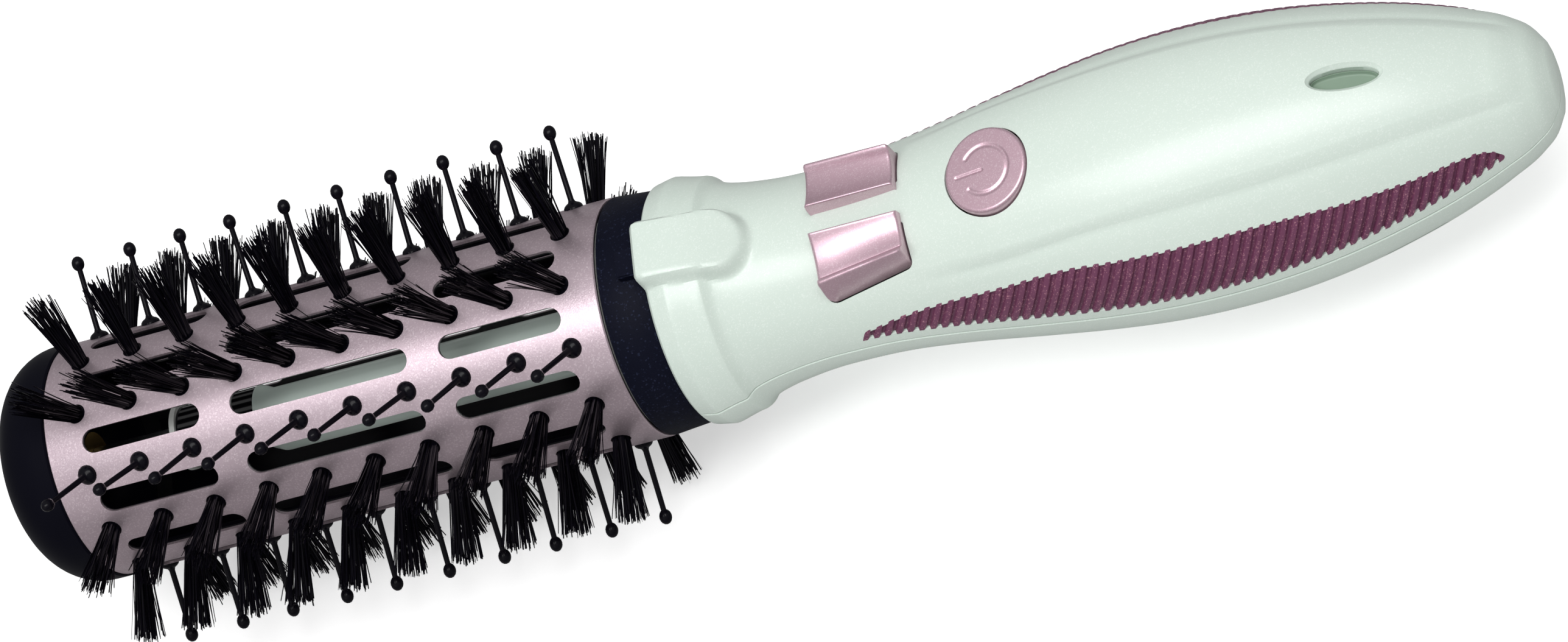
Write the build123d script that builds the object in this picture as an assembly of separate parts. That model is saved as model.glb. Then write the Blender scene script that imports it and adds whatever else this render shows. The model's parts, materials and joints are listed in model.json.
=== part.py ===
from build123d import *
from math import atan2, cos, degrees, pi, radians, sin, sqrt
import os

# Hot air styling brush with a powered round barrel. The model is built with the barrel's axis on X,
# the tip at -X, the handle's tail at +X and the push buttons on +Z. X = 0 is the middle of the rows
# of bristles. The last step stands the whole brush on its bristles. All sizes are millimetres.

# Clearances
running_fit = 0.05        # radial, between a shaft or journal and its bearing
seat_gap = 0.1            # between fixed pieces that are pushed together
button_gap = 0.3          # around a push button in its well

# Barrel
sleeve_radius = 25.0
sleeve_wall = 1.0
sleeve_length = 124.7
row_count = 12
holes_per_row = 10
hole_pitch = 12.15
hole_diameter = 4.2
barrel_turn = 1.0         # how far the barrel has turned from its zero when at rest, degrees
slot_width = 5.0
short_slot = 27.0
long_slot = 40.0
slot_gap = 7.0
end_ring_length = 4.2     # depth that the tip cap and the bearing ring reach into the sleeve

# Bristles and pins
bristle_reach = 17.6      # above the sleeve
tuft_tip_radius = 3.2
pin_radius = 0.65
ball_radius = 1.2
pin_dome = 0.9            # how far the pin's root stands above the sleeve
rail_width = 5.4
rail_thickness = 1.2

# Tip cap and drive hub
cap_radius = 25.4
cap_length = 15.2
cap_edge_radius = 12.0
cap_wall = 2.0
hub_radius = 6.0
hub_length = 12.0
hub_boss_wall = 2.4

# Drive shaft and the fixed spindle around it
shaft_radius = 2.5
shaft_flat = 0.5
spindle_radius = 6.9
spindle_wall = 1.9
spindle_front = -23.5     # where the pale tube ends and the dark nose begins
nose_radius = 6.4
nose_length = 18.0
bush_flange_radius = 7.2
bush_flange = 1.2
bush_length = 8.0

# Base collar
collar_gap = 0.4          # between the turning sleeve and the collar
collar_length = 9.6
collar_front_radius = 24.9
collar_rear_radius = 24.1
collar_bore = 18.5
journal_radius = 21.9
spigot_radius = 21.6
spigot_length = 11.5
spoke_count = 4
spoke_thickness = 2.0
spoke_depth = 9.0
lug_width = 6.0
lug_length = 5.0
lug_height = 1.6

# Handle shells
shell_wall = 2.2
seam_height = 1.5         # the shells part this far above the axis
band_radius = 25.5
band_flat = 3.5
band_slope = 6.5
band_end_radius = 24.0
shoulder_length = 2.5
waist_start_radius = 22.0
waist_radius = 19.8
belly_radius = 28.0
tail_end_radius = 6.8
tail_bulge = 0.9          # how far the blunt end is domed
tail_corner_radius = 13.9
waist_place = 34.0        # from the handle's front edge to its narrowest place
belly_place = 109.8       # from the handle's front edge to its widest place
handle_length = 181.0
shell_tip_round = 1.2

# Hood over the collar's lug
hood_width = 13.4
hood_length = 24.5
hood_height = 3.1         # above the band
hood_edge = 1.3

# Rotate buttons, one each side of the middle
rotate_place = 34.7       # from the handle's front edge to the buttons' front edge
rotate_length = 18.6
rotate_inner = 2.8        # half the space between the two buttons
rotate_width = 15.0       # at the base, in front
rotate_tail_width = 11.6
rotate_lean = 26.0        # a button's face leans this far from straight up, degrees
rotate_edge = 4.0         # how high the inner edge stands above the handle's skin
rotate_dish = 0.6         # how far the top face is hollowed
rotate_face = (9.4, 6.8)  # width of the top face up to its lip, in front and behind
rotate_lip = (1.2, 1.8)   # height of the lip above the face, in front and behind
rotate_lip_width = 1.0
rotate_climb = (0.9, 1.9)     # how much the face climbs from the inner edge to the lip
rotate_corner = 1.6
rotate_travel = 1.5
rotate_stem = 2.0

# Power button
power_place = 72.8        # from the handle's front edge to its centre
power_diameter = 17.6
power_proud = 1.3
power_lean = 9.0
power_travel = 1.2
power_edge = 0.6

# Wells and flanges shared by the buttons
well_wall = 1.3
well_depth = 5.0
flange_lip = 0.8
flange_thickness = 0.9

# Indicator
lens_place = 144.3
lens_length = 13.5
lens_width = 4.3
lens_lean = -13.0
lens_sink = 0.5
lens_thickness = 1.6
lens_flange = 1.0
led_radius = 1.5
led_height = 4.0
led_board_size = (23.4, 7.0, 1.2)

# Grip inserts
grip_depth = 1.2
grip_proud = 0.15
grip_rib_height = 0.55
grip_low = 2.3            # lower edge above the seam
grip_start = 36.8         # from the handle's front edge
grip_end = 169.2
grip_rise = 13.5          # greatest height of the insert

# Electronics
board_bottom = 6.9
board_thickness = 1.6
board_width = 20.0
board_start = 25.5
board_length = 53.0
post_radius = 2.0
post_inset = 3.2
tact_size = 4.5
tact_height = 2.0
tact_plunger = 1.5
power_switch_size = 7.0
power_switch_height = 5.0

# Gear motor
gearbox_radius = 6.5
gearbox_length = 14.0
motor_can_radius = 6.2
motor_can_length = 22.0
mount_thickness = 3.0
mount_rim = 2.5
mount_hub_wall = 3.0
cradle_width = 8.0

# Heater
heater_place = 83.6
heater_length = 26.0
shroud_radius = 19.6
shroud_wall = 0.5
mica_thickness = 0.8
mica_tab = 3.0
coil_radius = 16.8
coil_wire = 1.0
coil_turns = 8

# Blower
fan_place = 111.5
fan_radius = 19.6
fan_gap = 0.6
fan_hub_radius = 8.0
fan_length = 8.0
blade_count = 7
blade_thickness = 1.0
blade_root_pitch = 42.0
blade_tip_pitch = 62.0
duct_wall = 1.2
duct_length = 20.0
vane_count = 5
vane_thickness = 1.2
vane_length = 8.0
blower_motor_radius = 12.0
blower_motor_length = 22.0
blower_shaft_radius = 1.1

# Ribs, screws and air inlet
rib_thickness = 2.0
screw_places = (59.4, 160.0)
screw_boss_radius = 4.2
screw_post_radius = 2.9
screw_head_radius = 2.8
screw_head_height = 2.0
screw_head_sink = 4.0
screw_radius = 1.4
screw_bite = 7.0
inlet_slot_width = 2.0
inlet_slot_length = 14.0
inlet_place = 147.0
inlet_angles = (112, 122, 132, 142, 152, 208, 218, 228, 238, 248)

# Cord inlet, left empty
gland_radius = 5.8
gland_bore = 3.5
gland_flange = 7.2
gland_flange_thickness = 1.5
gland_length = 5.4
gland_place = 176.5       # from the handle's front edge, on the underside

# Places that follow from the sizes above
sleeve_end = sleeve_length / 2
sleeve_bore = sleeve_radius - sleeve_wall
collar_front = sleeve_end + collar_gap
handle_front = collar_front + collar_length + seat_gap
handle_end = handle_front + handle_length
band_end = shell_tip_round + band_flat + band_slope + shoulder_length
bristle_radius = sleeve_radius + bristle_reach
rail_top = sqrt((sleeve_bore - seat_gap) ** 2 - (rail_width / 2) ** 2)
rail_half_length = sleeve_end - end_ring_length - seat_gap
pins = [row for row in range(row_count) if row % 3 == 1]

nodes = {}


def tube(start, end, outer, inner=0.0):
    """A round bar or tube along X."""
    lying = Pos((start + end) / 2, 0, 0) * Rot(0, 90, 0)
    bar = lying * Cylinder(outer, end - start)
    return bar - lying * Cylinder(inner, end - start + 2) if inner else bar


def post(x, y, bottom, top, radius):
    """A round post along Z."""
    return Pos(x, y, (bottom + top) / 2) * Cylinder(radius, top - bottom)


def block(x0, x1, y0, y1, z0, z1):
    """A box between two corners."""
    return Pos((x0 + x1) / 2, (y0 + y1) / 2, (z0 + z1) / 2) * Box(x1 - x0, y1 - y0, z1 - z0)


def turned(outline):
    """A solid of revolution about X from a closed outline in the XZ plane."""
    return revolve(make_face(outline), Axis.X)


def flat(*corners):
    """A closed outline of straight lines in the XZ plane."""
    return Polyline(*[(x, 0, z) for x, z in corners], close=True)


# ---------------------------------------------------------------- barrel

def row_angle(row):
    return barrel_turn + 360.0 / row_count * row


def hole_places():
    return [(i - (holes_per_row - 1) / 2) * hole_pitch for i in range(holes_per_row)]


def barrel_sleeve():
    """Thin metal tube with a row of holes under each bristle row and air slots between the rows."""
    drill = [Pos(x, 0, sleeve_radius) * Cylinder(hole_diameter / 2, 4 * sleeve_wall) for x in hole_places()]
    shift = (long_slot + short_slot) / 2 + slot_gap
    half_step = 180.0 / row_count
    for x, length in ((-shift, short_slot), (0, long_slot), (shift, short_slot)):
        slot = extrude(SlotOverall(length, slot_width), 2 * sleeve_wall, both=True)
        drill.append(Rot(half_step, 0, 0) * Pos(x, 0, sleeve_radius) * slot)
    cuts = [Rot(row_angle(row), 0, 0) * cut for row in range(row_count) for cut in drill]
    return tube(-sleeve_end, sleeve_end, sleeve_radius, sleeve_bore) - cuts


def rail():
    """The strip inside the sleeve that carries one row."""
    return block(-rail_half_length, rail_half_length, -rail_width / 2, rail_width / 2,
                 rail_top - rail_thickness, rail_top)


def pin():
    """A ball-tipped nylon pin on a domed root that fills its hole."""
    root_radius = hole_diameter / 2 - seat_gap
    ball_height = bristle_radius - ball_radius
    root = Pos(0, 0, (rail_top + sleeve_radius) / 2) * Cylinder(root_radius, sleeve_radius - rail_top)
    dome = Pos(0, 0, sleeve_radius + pin_dome / 2) * Cone(root_radius, 2 * pin_radius, pin_dome)
    shaft = Pos(0, 0, (sleeve_radius + ball_height) / 2) * Cylinder(pin_radius, ball_height - sleeve_radius)
    return root + dome + shaft + Pos(0, 0, ball_height) * Sphere(ball_radius)


def tuft():
    """A bundle of bristles that fills its hole and flares towards its tips."""
    root_radius = hole_diameter / 2 - seat_gap
    root = Pos(0, 0, (rail_top + sleeve_radius) / 2) * Cylinder(root_radius, sleeve_radius - rail_top)
    bundle = Pos(0, 0, sleeve_radius + bristle_reach / 2) * Cone(root_radius, tuft_tip_radius, bristle_reach)
    return root + bundle


def bristle_row(row):
    """One rail with its ten pins or tufts, each a solid of its own."""
    tool = pin() if row in pins else tuft()
    row_solids = [rail()] + [Pos(x, 0, 0) * tool for x in hole_places()]
    return Compound([Rot(row_angle(row), 0, 0) * solid for solid in row_solids])


def cap_form(radius, edge, front):
    """The rounded plug shape of the tip, from the sleeve's end to its front."""
    body = tube(front, -sleeve_end, radius)
    return fillet(body.faces().sort_by(Axis.X)[0].edges(), edge)


def tip_cap():
    """Black end cap: a shell with a spigot in the sleeve and a boss around the drive hub."""
    front = -sleeve_end - cap_length
    shell = cap_form(cap_radius, cap_edge_radius, front)
    shell -= cap_form(cap_radius - cap_wall, cap_edge_radius - cap_wall, front + cap_wall)
    spigot_top = sleeve_bore - seat_gap
    spigot = tube(-sleeve_end - cap_wall, -sleeve_end + end_ring_length, spigot_top, spigot_top - cap_wall)
    web = tube(-sleeve_end - cap_wall, -sleeve_end, cap_radius - cap_wall / 2, spigot_top - cap_wall)
    boss = tube(front + cap_wall / 2, -sleeve_end + 1, hub_radius + hub_boss_wall, hub_radius + seat_gap)
    return shell + spigot + web + boss


def shaft_bar(start, end, radius):
    """A round bar with a flat on top near each end, for its hub and its gearbox."""
    bar = tube(start, end, radius)
    top = block(start - 1, start + hub_length, -radius, radius, radius - shaft_flat, radius + 1)
    return bar - top


def drive_shaft():
    start = -sleeve_end - cap_length + 2 * cap_wall
    return shaft_bar(start, gearbox_front + mount_thickness, shaft_radius)


def drive_hub():
    """Hub in the cap's boss that the shaft's flat turns."""
    front = -sleeve_end - cap_length + cap_wall + 2 * seat_gap
    return tube(front, front + hub_length, hub_radius) - shaft_bar(front - 1, front + hub_length + 1,
                                                                   shaft_radius + seat_gap / 2)


def barrel_ring():
    """Bearing ring in the sleeve's rear end, running on the collar's journal."""
    return tube(sleeve_end - end_ring_length, sleeve_end, sleeve_bore - seat_gap, journal_radius + running_fit)


# ---------------------------------------------------------------- collar and spindle

def base_collar():
    """Fixed black collar: journal in front, spigot in the handle, spokes that hold the spindle."""
    skirt = turned(flat((collar_front, 0), (collar_front, collar_front_radius - 0.5),
                        (collar_front + 0.5, collar_front_radius),
                        (collar_front + collar_length, collar_rear_radius),
                        (collar_front + collar_length, 0)))
    journal = tube(sleeve_end - end_ring_length, collar_front + 1, journal_radius)
    spigot_end = handle_front + spigot_length
    spigot = tube(collar_front + collar_length - 1, spigot_end, spigot_radius)
    lug = block(handle_front - lug_length - seat_gap, handle_front - seat_gap, -lug_width / 2, lug_width / 2,
                collar_rear_radius - 2, collar_front_radius + lug_height)
    body = skirt + journal + spigot + fillet(lug.edges().filter_by(Axis.Z), 0.8)
    body -= tube(sleeve_end - 10, spigot_end + 1, collar_bore)
    spider = tube(spigot_end - spoke_depth, spigot_end, spindle_radius + 2)
    for spoke in range(spoke_count):
        arm = block(spigot_end - spoke_depth, spigot_end, -spoke_thickness / 2, spoke_thickness / 2,
                    0, collar_bore + 1)
        spider += Rot(45 + 360 / spoke_count * spoke, 0, 0) * arm
    spider -= tube(spigot_end - spoke_depth - 1, spigot_end + 1, spindle_radius + seat_gap / 2)
    return body + spider


def spindle_tube():
    """Pale fixed tube along the middle of the barrel."""
    return tube(spindle_front, handle_front + spigot_length, spindle_radius, spindle_radius - spindle_wall)


def spindle_nose():
    """Dark front end of the fixed spindle."""
    return tube(spindle_front - nose_length, spindle_front, nose_radius, spindle_radius - spindle_wall)


def bush(start, direction):
    """Flanged shaft bush in one end of the spindle."""
    bore = shaft_radius + running_fit
    flange_ends = sorted((start, start - direction * bush_flange))
    body_ends = sorted((start, start + direction * bush_length))
    body = tube(*body_ends, spindle_radius - spindle_wall - seat_gap / 2, bore)
    return body + tube(*flange_ends, bush_flange_radius, bore)


# ---------------------------------------------------------------- handle shells

def waist_curve():
    """The handle's side outline from the shoulder to the tail, in the XZ plane."""
    half_fall = (belly_radius + tail_corner_radius) / 2
    marks = [
        (band_end, waist_start_radius),
        (waist_place, waist_radius),
        ((waist_place * 2 + belly_place) / 3 - 1.5, waist_radius + 0.27 * (belly_radius - waist_radius)),
        ((waist_place + 2 * belly_place) / 3 - 1, waist_radius + 0.7 * (belly_radius - waist_radius)),
        (belly_place, belly_radius),
        ((belly_place * 2 + handle_length) / 3, belly_radius - 0.16 * (belly_radius - tail_end_radius)),
        ((belly_place + handle_length * 2) / 3 + 2, half_fall - 0.9),
        (handle_length - 6.4, tail_corner_radius),
        (handle_length - tail_bulge, tail_end_radius),
    ]
    return Spline(*[(handle_front + x, 0, radius) for x, radius in marks])


outline_curve = waist_curve()


def skin_radius(x, inset=0.0):
    """The handle's radius at a place along the axis, less an inset."""
    low, high = 0.0, 1.0
    for _ in range(24):
        middle = (low + high) / 2
        low, high = (middle, high) if outline_curve.position_at(middle).X < x else (low, middle)
    return outline_curve.position_at(low).Z - inset


def skin_slope(x):
    """How steeply the outline climbs towards the tail, degrees."""
    return degrees(atan2(skin_radius(x + 0.5) - skin_radius(x - 0.5), 1.0))


def skin(inset):
    """The handle's smooth body, drawn in by an inset measured square to its surface."""
    samples = []
    for step in range(17):
        at = outline_curve.position_at(step / 16)
        along = outline_curve.tangent_at(step / 16)
        samples.append((at.X + along.Z * inset, 0, at.Z - along.X * inset))
    first, last = samples[0], samples[-1]
    front = (first[0], 0, 0)
    back = (last[0] + tail_bulge, 0, 0)
    dome_radius = (last[2] ** 2 + tail_bulge ** 2) / (2 * tail_bulge)
    half_turn = atan2(last[2], dome_radius - tail_bulge) / 2
    middle = (back[0] - dome_radius * (1 - cos(half_turn)), 0, dome_radius * sin(half_turn))
    dome = ThreePointArc(last, middle, back)
    return turned([Line(front, first), Spline(*samples), dome, Line(back, front)])


def front_band():
    """The thick rounded band that the shells end in around the collar."""
    tip = handle_front + shell_tip_round
    flat_end = tip + band_flat
    slope_end = flat_end + band_slope
    end = handle_front + band_end
    return turned(flat((handle_front, 0), (handle_front, band_radius - shell_tip_round), (tip, band_radius),
                       (flat_end, band_radius), (slope_end, band_end_radius), (end, waist_start_radius),
                       (end + 1, waist_start_radius - 0.1), (end + 1, 0)))


def hood():
    """The moulded hood over the collar's lug, square in front and half round behind."""
    half = hood_width / 2
    top = band_radius + hood_height
    plan = Pos(handle_front + (hood_length - half) / 2, 0, 0) * Rectangle(hood_length - half, hood_width)
    plan += Pos(handle_front + hood_length - half, 0, 0) * Circle(half)
    body = Pos(0, 0, waist_radius - 3) * extrude(plan, top - waist_radius + 3)
    rim = body.faces().sort_by(Axis.Z)[-1].edges()
    return fillet(rim, hood_edge)


def full_ring(x, inner):
    """An upright rib inside the shells, open in the middle."""
    ring = tube(x - rib_thickness / 2, x + rib_thickness / 2, belly_radius, inner)
    return ring & skin(shell_wall / 2)


def hollow_body():
    """Both shells in one piece, with ribs, before openings are cut."""
    body = skin(0) + front_band() + hood()
    body -= tube(handle_front - 1, handle_front + spigot_length + seat_gap, spigot_radius + seat_gap / 2)
    body -= skin(shell_wall)
    throat_end = handle_front + band_end + 1
    body -= tube(handle_front + spigot_length, throat_end, waist_start_radius - shell_wall)
    for x in rib_places_shroud:
        body += full_ring(x, shroud_radius + seat_gap / 2)
    for x in rib_places_duct:
        body += full_ring(x, duct_radius + seat_gap / 2)
    return body


def grip_outline(inset=0.0):
    """Side outline of a grip insert: pointed in front, full in the middle, round behind."""
    low, high = seam_height + grip_low + inset, seam_height + grip_low - inset
    start, end = handle_front + grip_start + inset, handle_front + grip_end - inset
    crest = (start + end) / 2 + 8
    nose = (start + 3.2, 0, high + 0.26 * grip_rise)
    back = (end - 5.5, 0, high + 0.44 * grip_rise)
    upper = Spline(nose, (start + 20.5, 0, high + 0.58 * grip_rise), (crest, 0, high + grip_rise),
                   (end - 29, 0, high + 0.79 * grip_rise), back)
    front_turn = ThreePointArc((start + 0.6, 0, low), (start + 0.7, 0, high + 0.13 * grip_rise), nose)
    back_turn = ThreePointArc(back, (end - 1.6, 0, high + 0.26 * grip_rise), (end, 0, low))
    return make_face([front_turn, upper, back_turn, Line((end, 0, low), (start + 0.6, 0, low))])


def side_prism(face):
    """A flat side outline pushed out towards -Y."""
    return extrude(face, 2 * belly_radius, dir=(0, -1, 0))


def grip():
    """Soft insert for the -Y side: a thin curved pad that wraps the side."""
    outline = side_prism(grip_outline(1.5 * seat_gap))
    return outline & (skin(-grip_proud - grip_rib_height) - skin(grip_depth - 1.5 * seat_gap))


def button_frame(side):
    """Where a rotate button's own axes sit: its Z is the way it is pressed."""
    return Rot(side * rotate_lean, 0, 0)


def rotate_inner_edge():
    """How far the inner edge lies from the middle of a rotate button's own frame."""
    height = skin_radius(handle_front + rotate_place + rotate_length / 2) + rotate_edge
    return height * sin(radians(rotate_lean)) - rotate_inner * cos(radians(rotate_lean))


def rotate_plan(grow):
    """Plan of a rotate button, narrower towards the tail. +Y is the inner edge."""
    inner = rotate_inner_edge()
    x0 = handle_front + rotate_place
    x1 = x0 + rotate_length
    plan = make_face(Polyline((x0, inner), (x1, inner), (x1, inner - rotate_tail_width),
                              (x0, inner - rotate_width), close=True))
    plan = fillet(plan.vertices(), rotate_corner)
    return offset(plan, grow) if grow else plan


def rotate_section(x, width, face, lip, climb):
    """Cross-section of a rotate button: dished face, groove, raised lip and steep outer side."""
    inner = rotate_inner_edge()
    height = skin_radius(handle_front + rotate_place + rotate_length / 2)
    edge = (height + rotate_edge) * cos(radians(rotate_lean)) + rotate_inner * sin(radians(rotate_lean))
    groove, crest, outer = inner - face, inner - face - rotate_lip_width, inner - width
    base = sqrt(height ** 2 - outer ** 2) - 1
    top = edge + climb + lip - 0.25
    spill = base - (top - base) / (crest - outer)
    return make_face([
        Line((x, inner + 1, rotate_floor), (x, inner + 1, edge)),
        Line((x, inner + 1, edge), (x, inner, edge)),
        ThreePointArc((x, inner, edge), (x, inner - face / 2, edge + climb / 2 - rotate_dish),
                      (x, groove, edge + climb)),
        Line((x, groove, edge + climb), (x, crest + 0.35, edge + climb + lip)),
        Line((x, crest + 0.35, edge + climb + lip), (x, crest, top)),
        Line((x, crest, top), (x, outer - 1, spill)),
        Line((x, outer - 1, spill), (x, outer - 1, rotate_floor)),
        Line((x, outer - 1, rotate_floor), (x, inner + 1, rotate_floor)),
    ])


def rotate_button(side):
    """Rotate button: dished face with a lip along its outer edge, flange and stem below."""
    x0 = handle_front + rotate_place
    bottom = rotate_floor
    ends = ((x0 - 0.5, rotate_width), (x0 + rotate_length + 0.5, rotate_tail_width))
    form = loft([rotate_section(x, width, face, lip, climb) for (x, width), face, lip, climb
                 in zip(ends, rotate_face, rotate_lip, rotate_climb)], ruled=True)
    cap = form & (Pos(0, 0, bottom) * extrude(rotate_plan(0), 20))
    flange = Pos(0, 0, bottom - flange_thickness) * extrude(rotate_plan(flange_lip), flange_thickness)
    plunger_tilt = tact_plunger * sin(radians(rotate_lean))
    stem_end = tact_top_height + plunger_tilt + rotate_travel + button_gap
    stem = post(x0 + rotate_length / 2, 0, stem_end, bottom, rotate_stem)
    body = button_frame(1) * (cap + flange + stem)
    body &= block(x0 - 9, x0 + rotate_length + 9, -40, -rotate_inner, 0, 60)
    return body if side > 0 else mirror(body, Plane.XZ)


def rotate_well(side, solid):
    """The wall around a rotate button, or without solid, the opening that the button moves in."""
    plan = rotate_plan(button_gap + well_wall) if solid else rotate_plan(button_gap)
    depth = rotate_floor + button_gap / 2 if solid else rotate_floor - 1
    body = button_frame(1) * (Pos(0, 0, depth) * extrude(plan, 30 - depth))
    if not solid:
        land = rotate_inner - rotate_travel * sin(radians(rotate_lean)) - button_gap
        body &= block(handle_front, handle_end, -40, -land, -40, 60)
    return body if side > 0 else mirror(body, Plane.XZ)


def power_frame():
    """The power button's own axes: its Z is square to the handle's surface."""
    x = handle_front + power_place
    return Pos(x, 0, skin_radius(x)) * Rot(0, -power_lean, 0)


def power_button():
    """Round push button with a flange below and a stem to its switch."""
    radius = power_diameter / 2
    cap = Pos(0, 0, (power_proud - well_depth) / 2) * Cylinder(radius, power_proud + well_depth)
    cap = fillet(cap.faces().sort_by(Axis.Z)[-1].edges(), power_edge)
    flange = Pos(0, 0, -well_depth - flange_thickness / 2) * Cylinder(radius + flange_lip, flange_thickness)
    body = power_frame() * (cap + flange)
    x = handle_front + power_place
    stem_bottom = power_switch_top + power_travel + button_gap
    stem = power_frame() * (Pos(0, 0, -well_depth - 6) * Cylinder(rotate_stem, 12))
    return body + (stem & block(x - 20, x + 20, -20, 20, stem_bottom, skin_radius(x) - well_depth + 1))


def power_well(solid):
    radius = power_diameter / 2 + button_gap
    if solid:
        return power_frame() * (Pos(0, 0, -well_depth / 2 + button_gap / 2)
                                * Cylinder(radius + well_wall, well_depth - button_gap))
    return power_frame() * Cylinder(radius, 3 * well_depth)


def lens_frame():
    x = handle_front + lens_place
    return Pos(x, 0, skin_radius(x)) * Rot(0, -lens_lean, 0)


def lens_hole():
    return lens_frame() * extrude(SlotOverall(lens_length + seat_gap, lens_width + seat_gap), 8, both=True)


def indicator_lens():
    """Oval light window, sunk a little below the shell, with a flange inside it."""
    body = Pos(0, 0, -lens_sink - lens_thickness - shell_wall / 2) * extrude(
        SlotOverall(lens_length, lens_width), lens_thickness + shell_wall / 2)
    inner = (skin(shell_wall + seat_gap) - skin(shell_wall + seat_gap + lens_flange))
    flange = lens_frame() * (Pos(0, 0, -8) * extrude(
        SlotOverall(lens_length + 2 * lens_flange, lens_width + 2 * lens_flange), 10))
    return lens_frame() * body + (flange & inner)


def boss_posts(bottom, top, outer, hole):
    """Screw posts on the middle plane, trimmed to the inside of the skin."""
    posts = None
    for place in screw_places:
        stud = post(handle_front + place, 0, bottom, top, outer) & skin(shell_wall / 2)
        stud -= post(handle_front + place, 0, bottom - 1, top + 1, hole)
        posts = stud if posts is None else posts + stud
    return posts


def screw_seat(place):
    """Height of the ledge that a screw's head bears on."""
    return -skin_radius(handle_front + place) + screw_head_sink


def board_corners():
    x0 = handle_front + board_start + post_inset
    x1 = x0 + board_length - 2 * post_inset
    side = board_width / 2 - post_inset
    return [(x, y) for x in (x0, x1) for y in (-side, side)]


def front_shell():
    """Upper shell: carries the buttons, the window, two board posts and the grips' seats."""
    above = block(handle_front - 1, handle_end + 1, -40, 40, seam_height, 60)
    shell = hollow & above
    inside = skin(shell_wall / 2) & above
    for side in (1, -1):
        shell += rotate_well(side, True) & inside
    shell += power_well(True) & inside
    for x, y in board_corners()[:2]:
        shell += post(x, y, board_top, belly_radius, post_radius) & inside
    for end in (-1, 1):
        x = handle_front + lens_place + end * (led_board_size[0] / 2 - 1.5)
        shell += post(x, 0, led_board_top, belly_radius, 1.5) & inside
    shell += boss_posts(seam_height, belly_radius, screw_post_radius, screw_radius - 0.1)
    for side in (1, -1):
        shell -= rotate_well(side, False)
    shell -= power_well(False)
    shell -= lens_hole()
    pocket = side_prism(grip_outline()) - skin(grip_depth)
    shell -= pocket
    shell -= mirror(pocket, Plane.XZ)
    return shell


def rear_shell():
    """Lower shell: carries the motor cradle, the screws and the air inlet."""
    below = block(handle_front - 1, handle_end + 1, -40, 40, -60, seam_height)
    shell = hollow & below
    cradle_x = gearbox_front + gearbox_length + motor_can_length - 6
    cradle = block(cradle_x, cradle_x + rib_thickness, -cradle_width / 2, cradle_width / 2, -30, -2)
    shell += (cradle - tube(cradle_x - 1, cradle_x + 9, motor_can_radius + seat_gap)) & skin(shell_wall / 2)
    shell += boss_posts(-belly_radius, seam_height, screw_boss_radius, screw_radius + seat_gap)
    for x, y in board_corners()[2:]:
        shell += post(x, y, -belly_radius, board_bottom, post_radius) & skin(shell_wall / 2)
    for place in screw_places:
        shell -= post(handle_front + place, 0, -40, screw_seat(place), screw_head_radius + seat_gap)
    slot = extrude(SlotOverall(inlet_slot_length, inlet_slot_width), 10, both=True)
    for angle in inlet_angles:
        x = handle_front + inlet_place
        shell -= Rot(angle, 0, 0) * Pos(x, 0, skin_radius(x)) * Rot(0, -skin_slope(x), 0) * slot
    return shell - gland_frame() * Cylinder(gland_radius + seat_gap / 2, 3 * gland_length)


def case_screws():
    """Self-tapping screws up through the lower shell into the upper shell's posts."""
    screws = []
    for place in screw_places:
        x, seat = handle_front + place, screw_seat(place)
        head = post(x, 0, seat - screw_head_height, seat, screw_head_radius)
        screws.append(head + post(x, 0, seat, seam_height + screw_bite, screw_radius - 0.15))
    return Compound(screws)


# ---------------------------------------------------------------- inside the handle

def control_board():
    """Circuit board under the buttons, with a hole for the front screw post."""
    x0 = handle_front + board_start
    board = block(x0, x0 + board_length, -board_width / 2, board_width / 2,
                  board_bottom, board_bottom + board_thickness)
    hole = post(handle_front + screw_places[0], 0, 0, 30, screw_post_radius + 2 * seat_gap)
    return fillet(board.edges().filter_by(Axis.Z), 2) - hole


def tact_switches():
    """Two small push switches under the rotate buttons' stems."""
    x = handle_front + rotate_place + rotate_length / 2
    top = board_bottom + board_thickness
    y = (top + tact_height) * sin(radians(rotate_lean)) / cos(radians(rotate_lean))
    half = tact_size / 2
    tacts = []
    for side in (-1, 1):
        case = block(x - half, x + half, side * y - half, side * y + half, top, top + tact_height - 0.8)
        tacts.append(case + post(x, side * y, top + tact_height - 1, top + tact_height,
                                 tact_plunger))
    return Compound(tacts)


def power_switch():
    x = handle_front + power_place
    top = board_bottom + board_thickness
    half = power_switch_size / 2
    shift = skin_radius(x) * 0.04
    case = block(x + shift - half, x + shift + half, -half, half, top, top + power_switch_height - 1.5)
    return case + post(x + shift, 0, top, top + power_switch_height, 2)


def indicator_led():
    x = handle_front + lens_place
    body = post(x, 0, led_board_top, led_board_top + led_height - led_radius, led_radius)
    return body + Pos(x, 0, led_board_top + led_height - led_radius) * Sphere(led_radius)


def led_board():
    x = handle_front + lens_place
    length, width, thickness = led_board_size
    return block(x - length / 2, x + length / 2, -width / 2, width / 2,
                 led_board_top - thickness, led_board_top)


def gear_motor():
    """Gearbox and small motor that turn the drive shaft."""
    end = gearbox_front + gearbox_length
    box = tube(gearbox_front, end, gearbox_radius)
    can = tube(end, end + motor_can_length, motor_can_radius)
    cheeks = block(end, end + motor_can_length, -20, 20, -motor_can_radius + 0.8, motor_can_radius - 0.8)
    nose = tube(gearbox_front - 2, gearbox_front, 4)
    tail = tube(end + motor_can_length, end + motor_can_length + 1.5, 2.5)
    body = box + (can & cheeks) + nose + tail
    return body - tube(gearbox_front - 3, gearbox_front + mount_thickness + 1, shaft_radius + running_fit)


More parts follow.
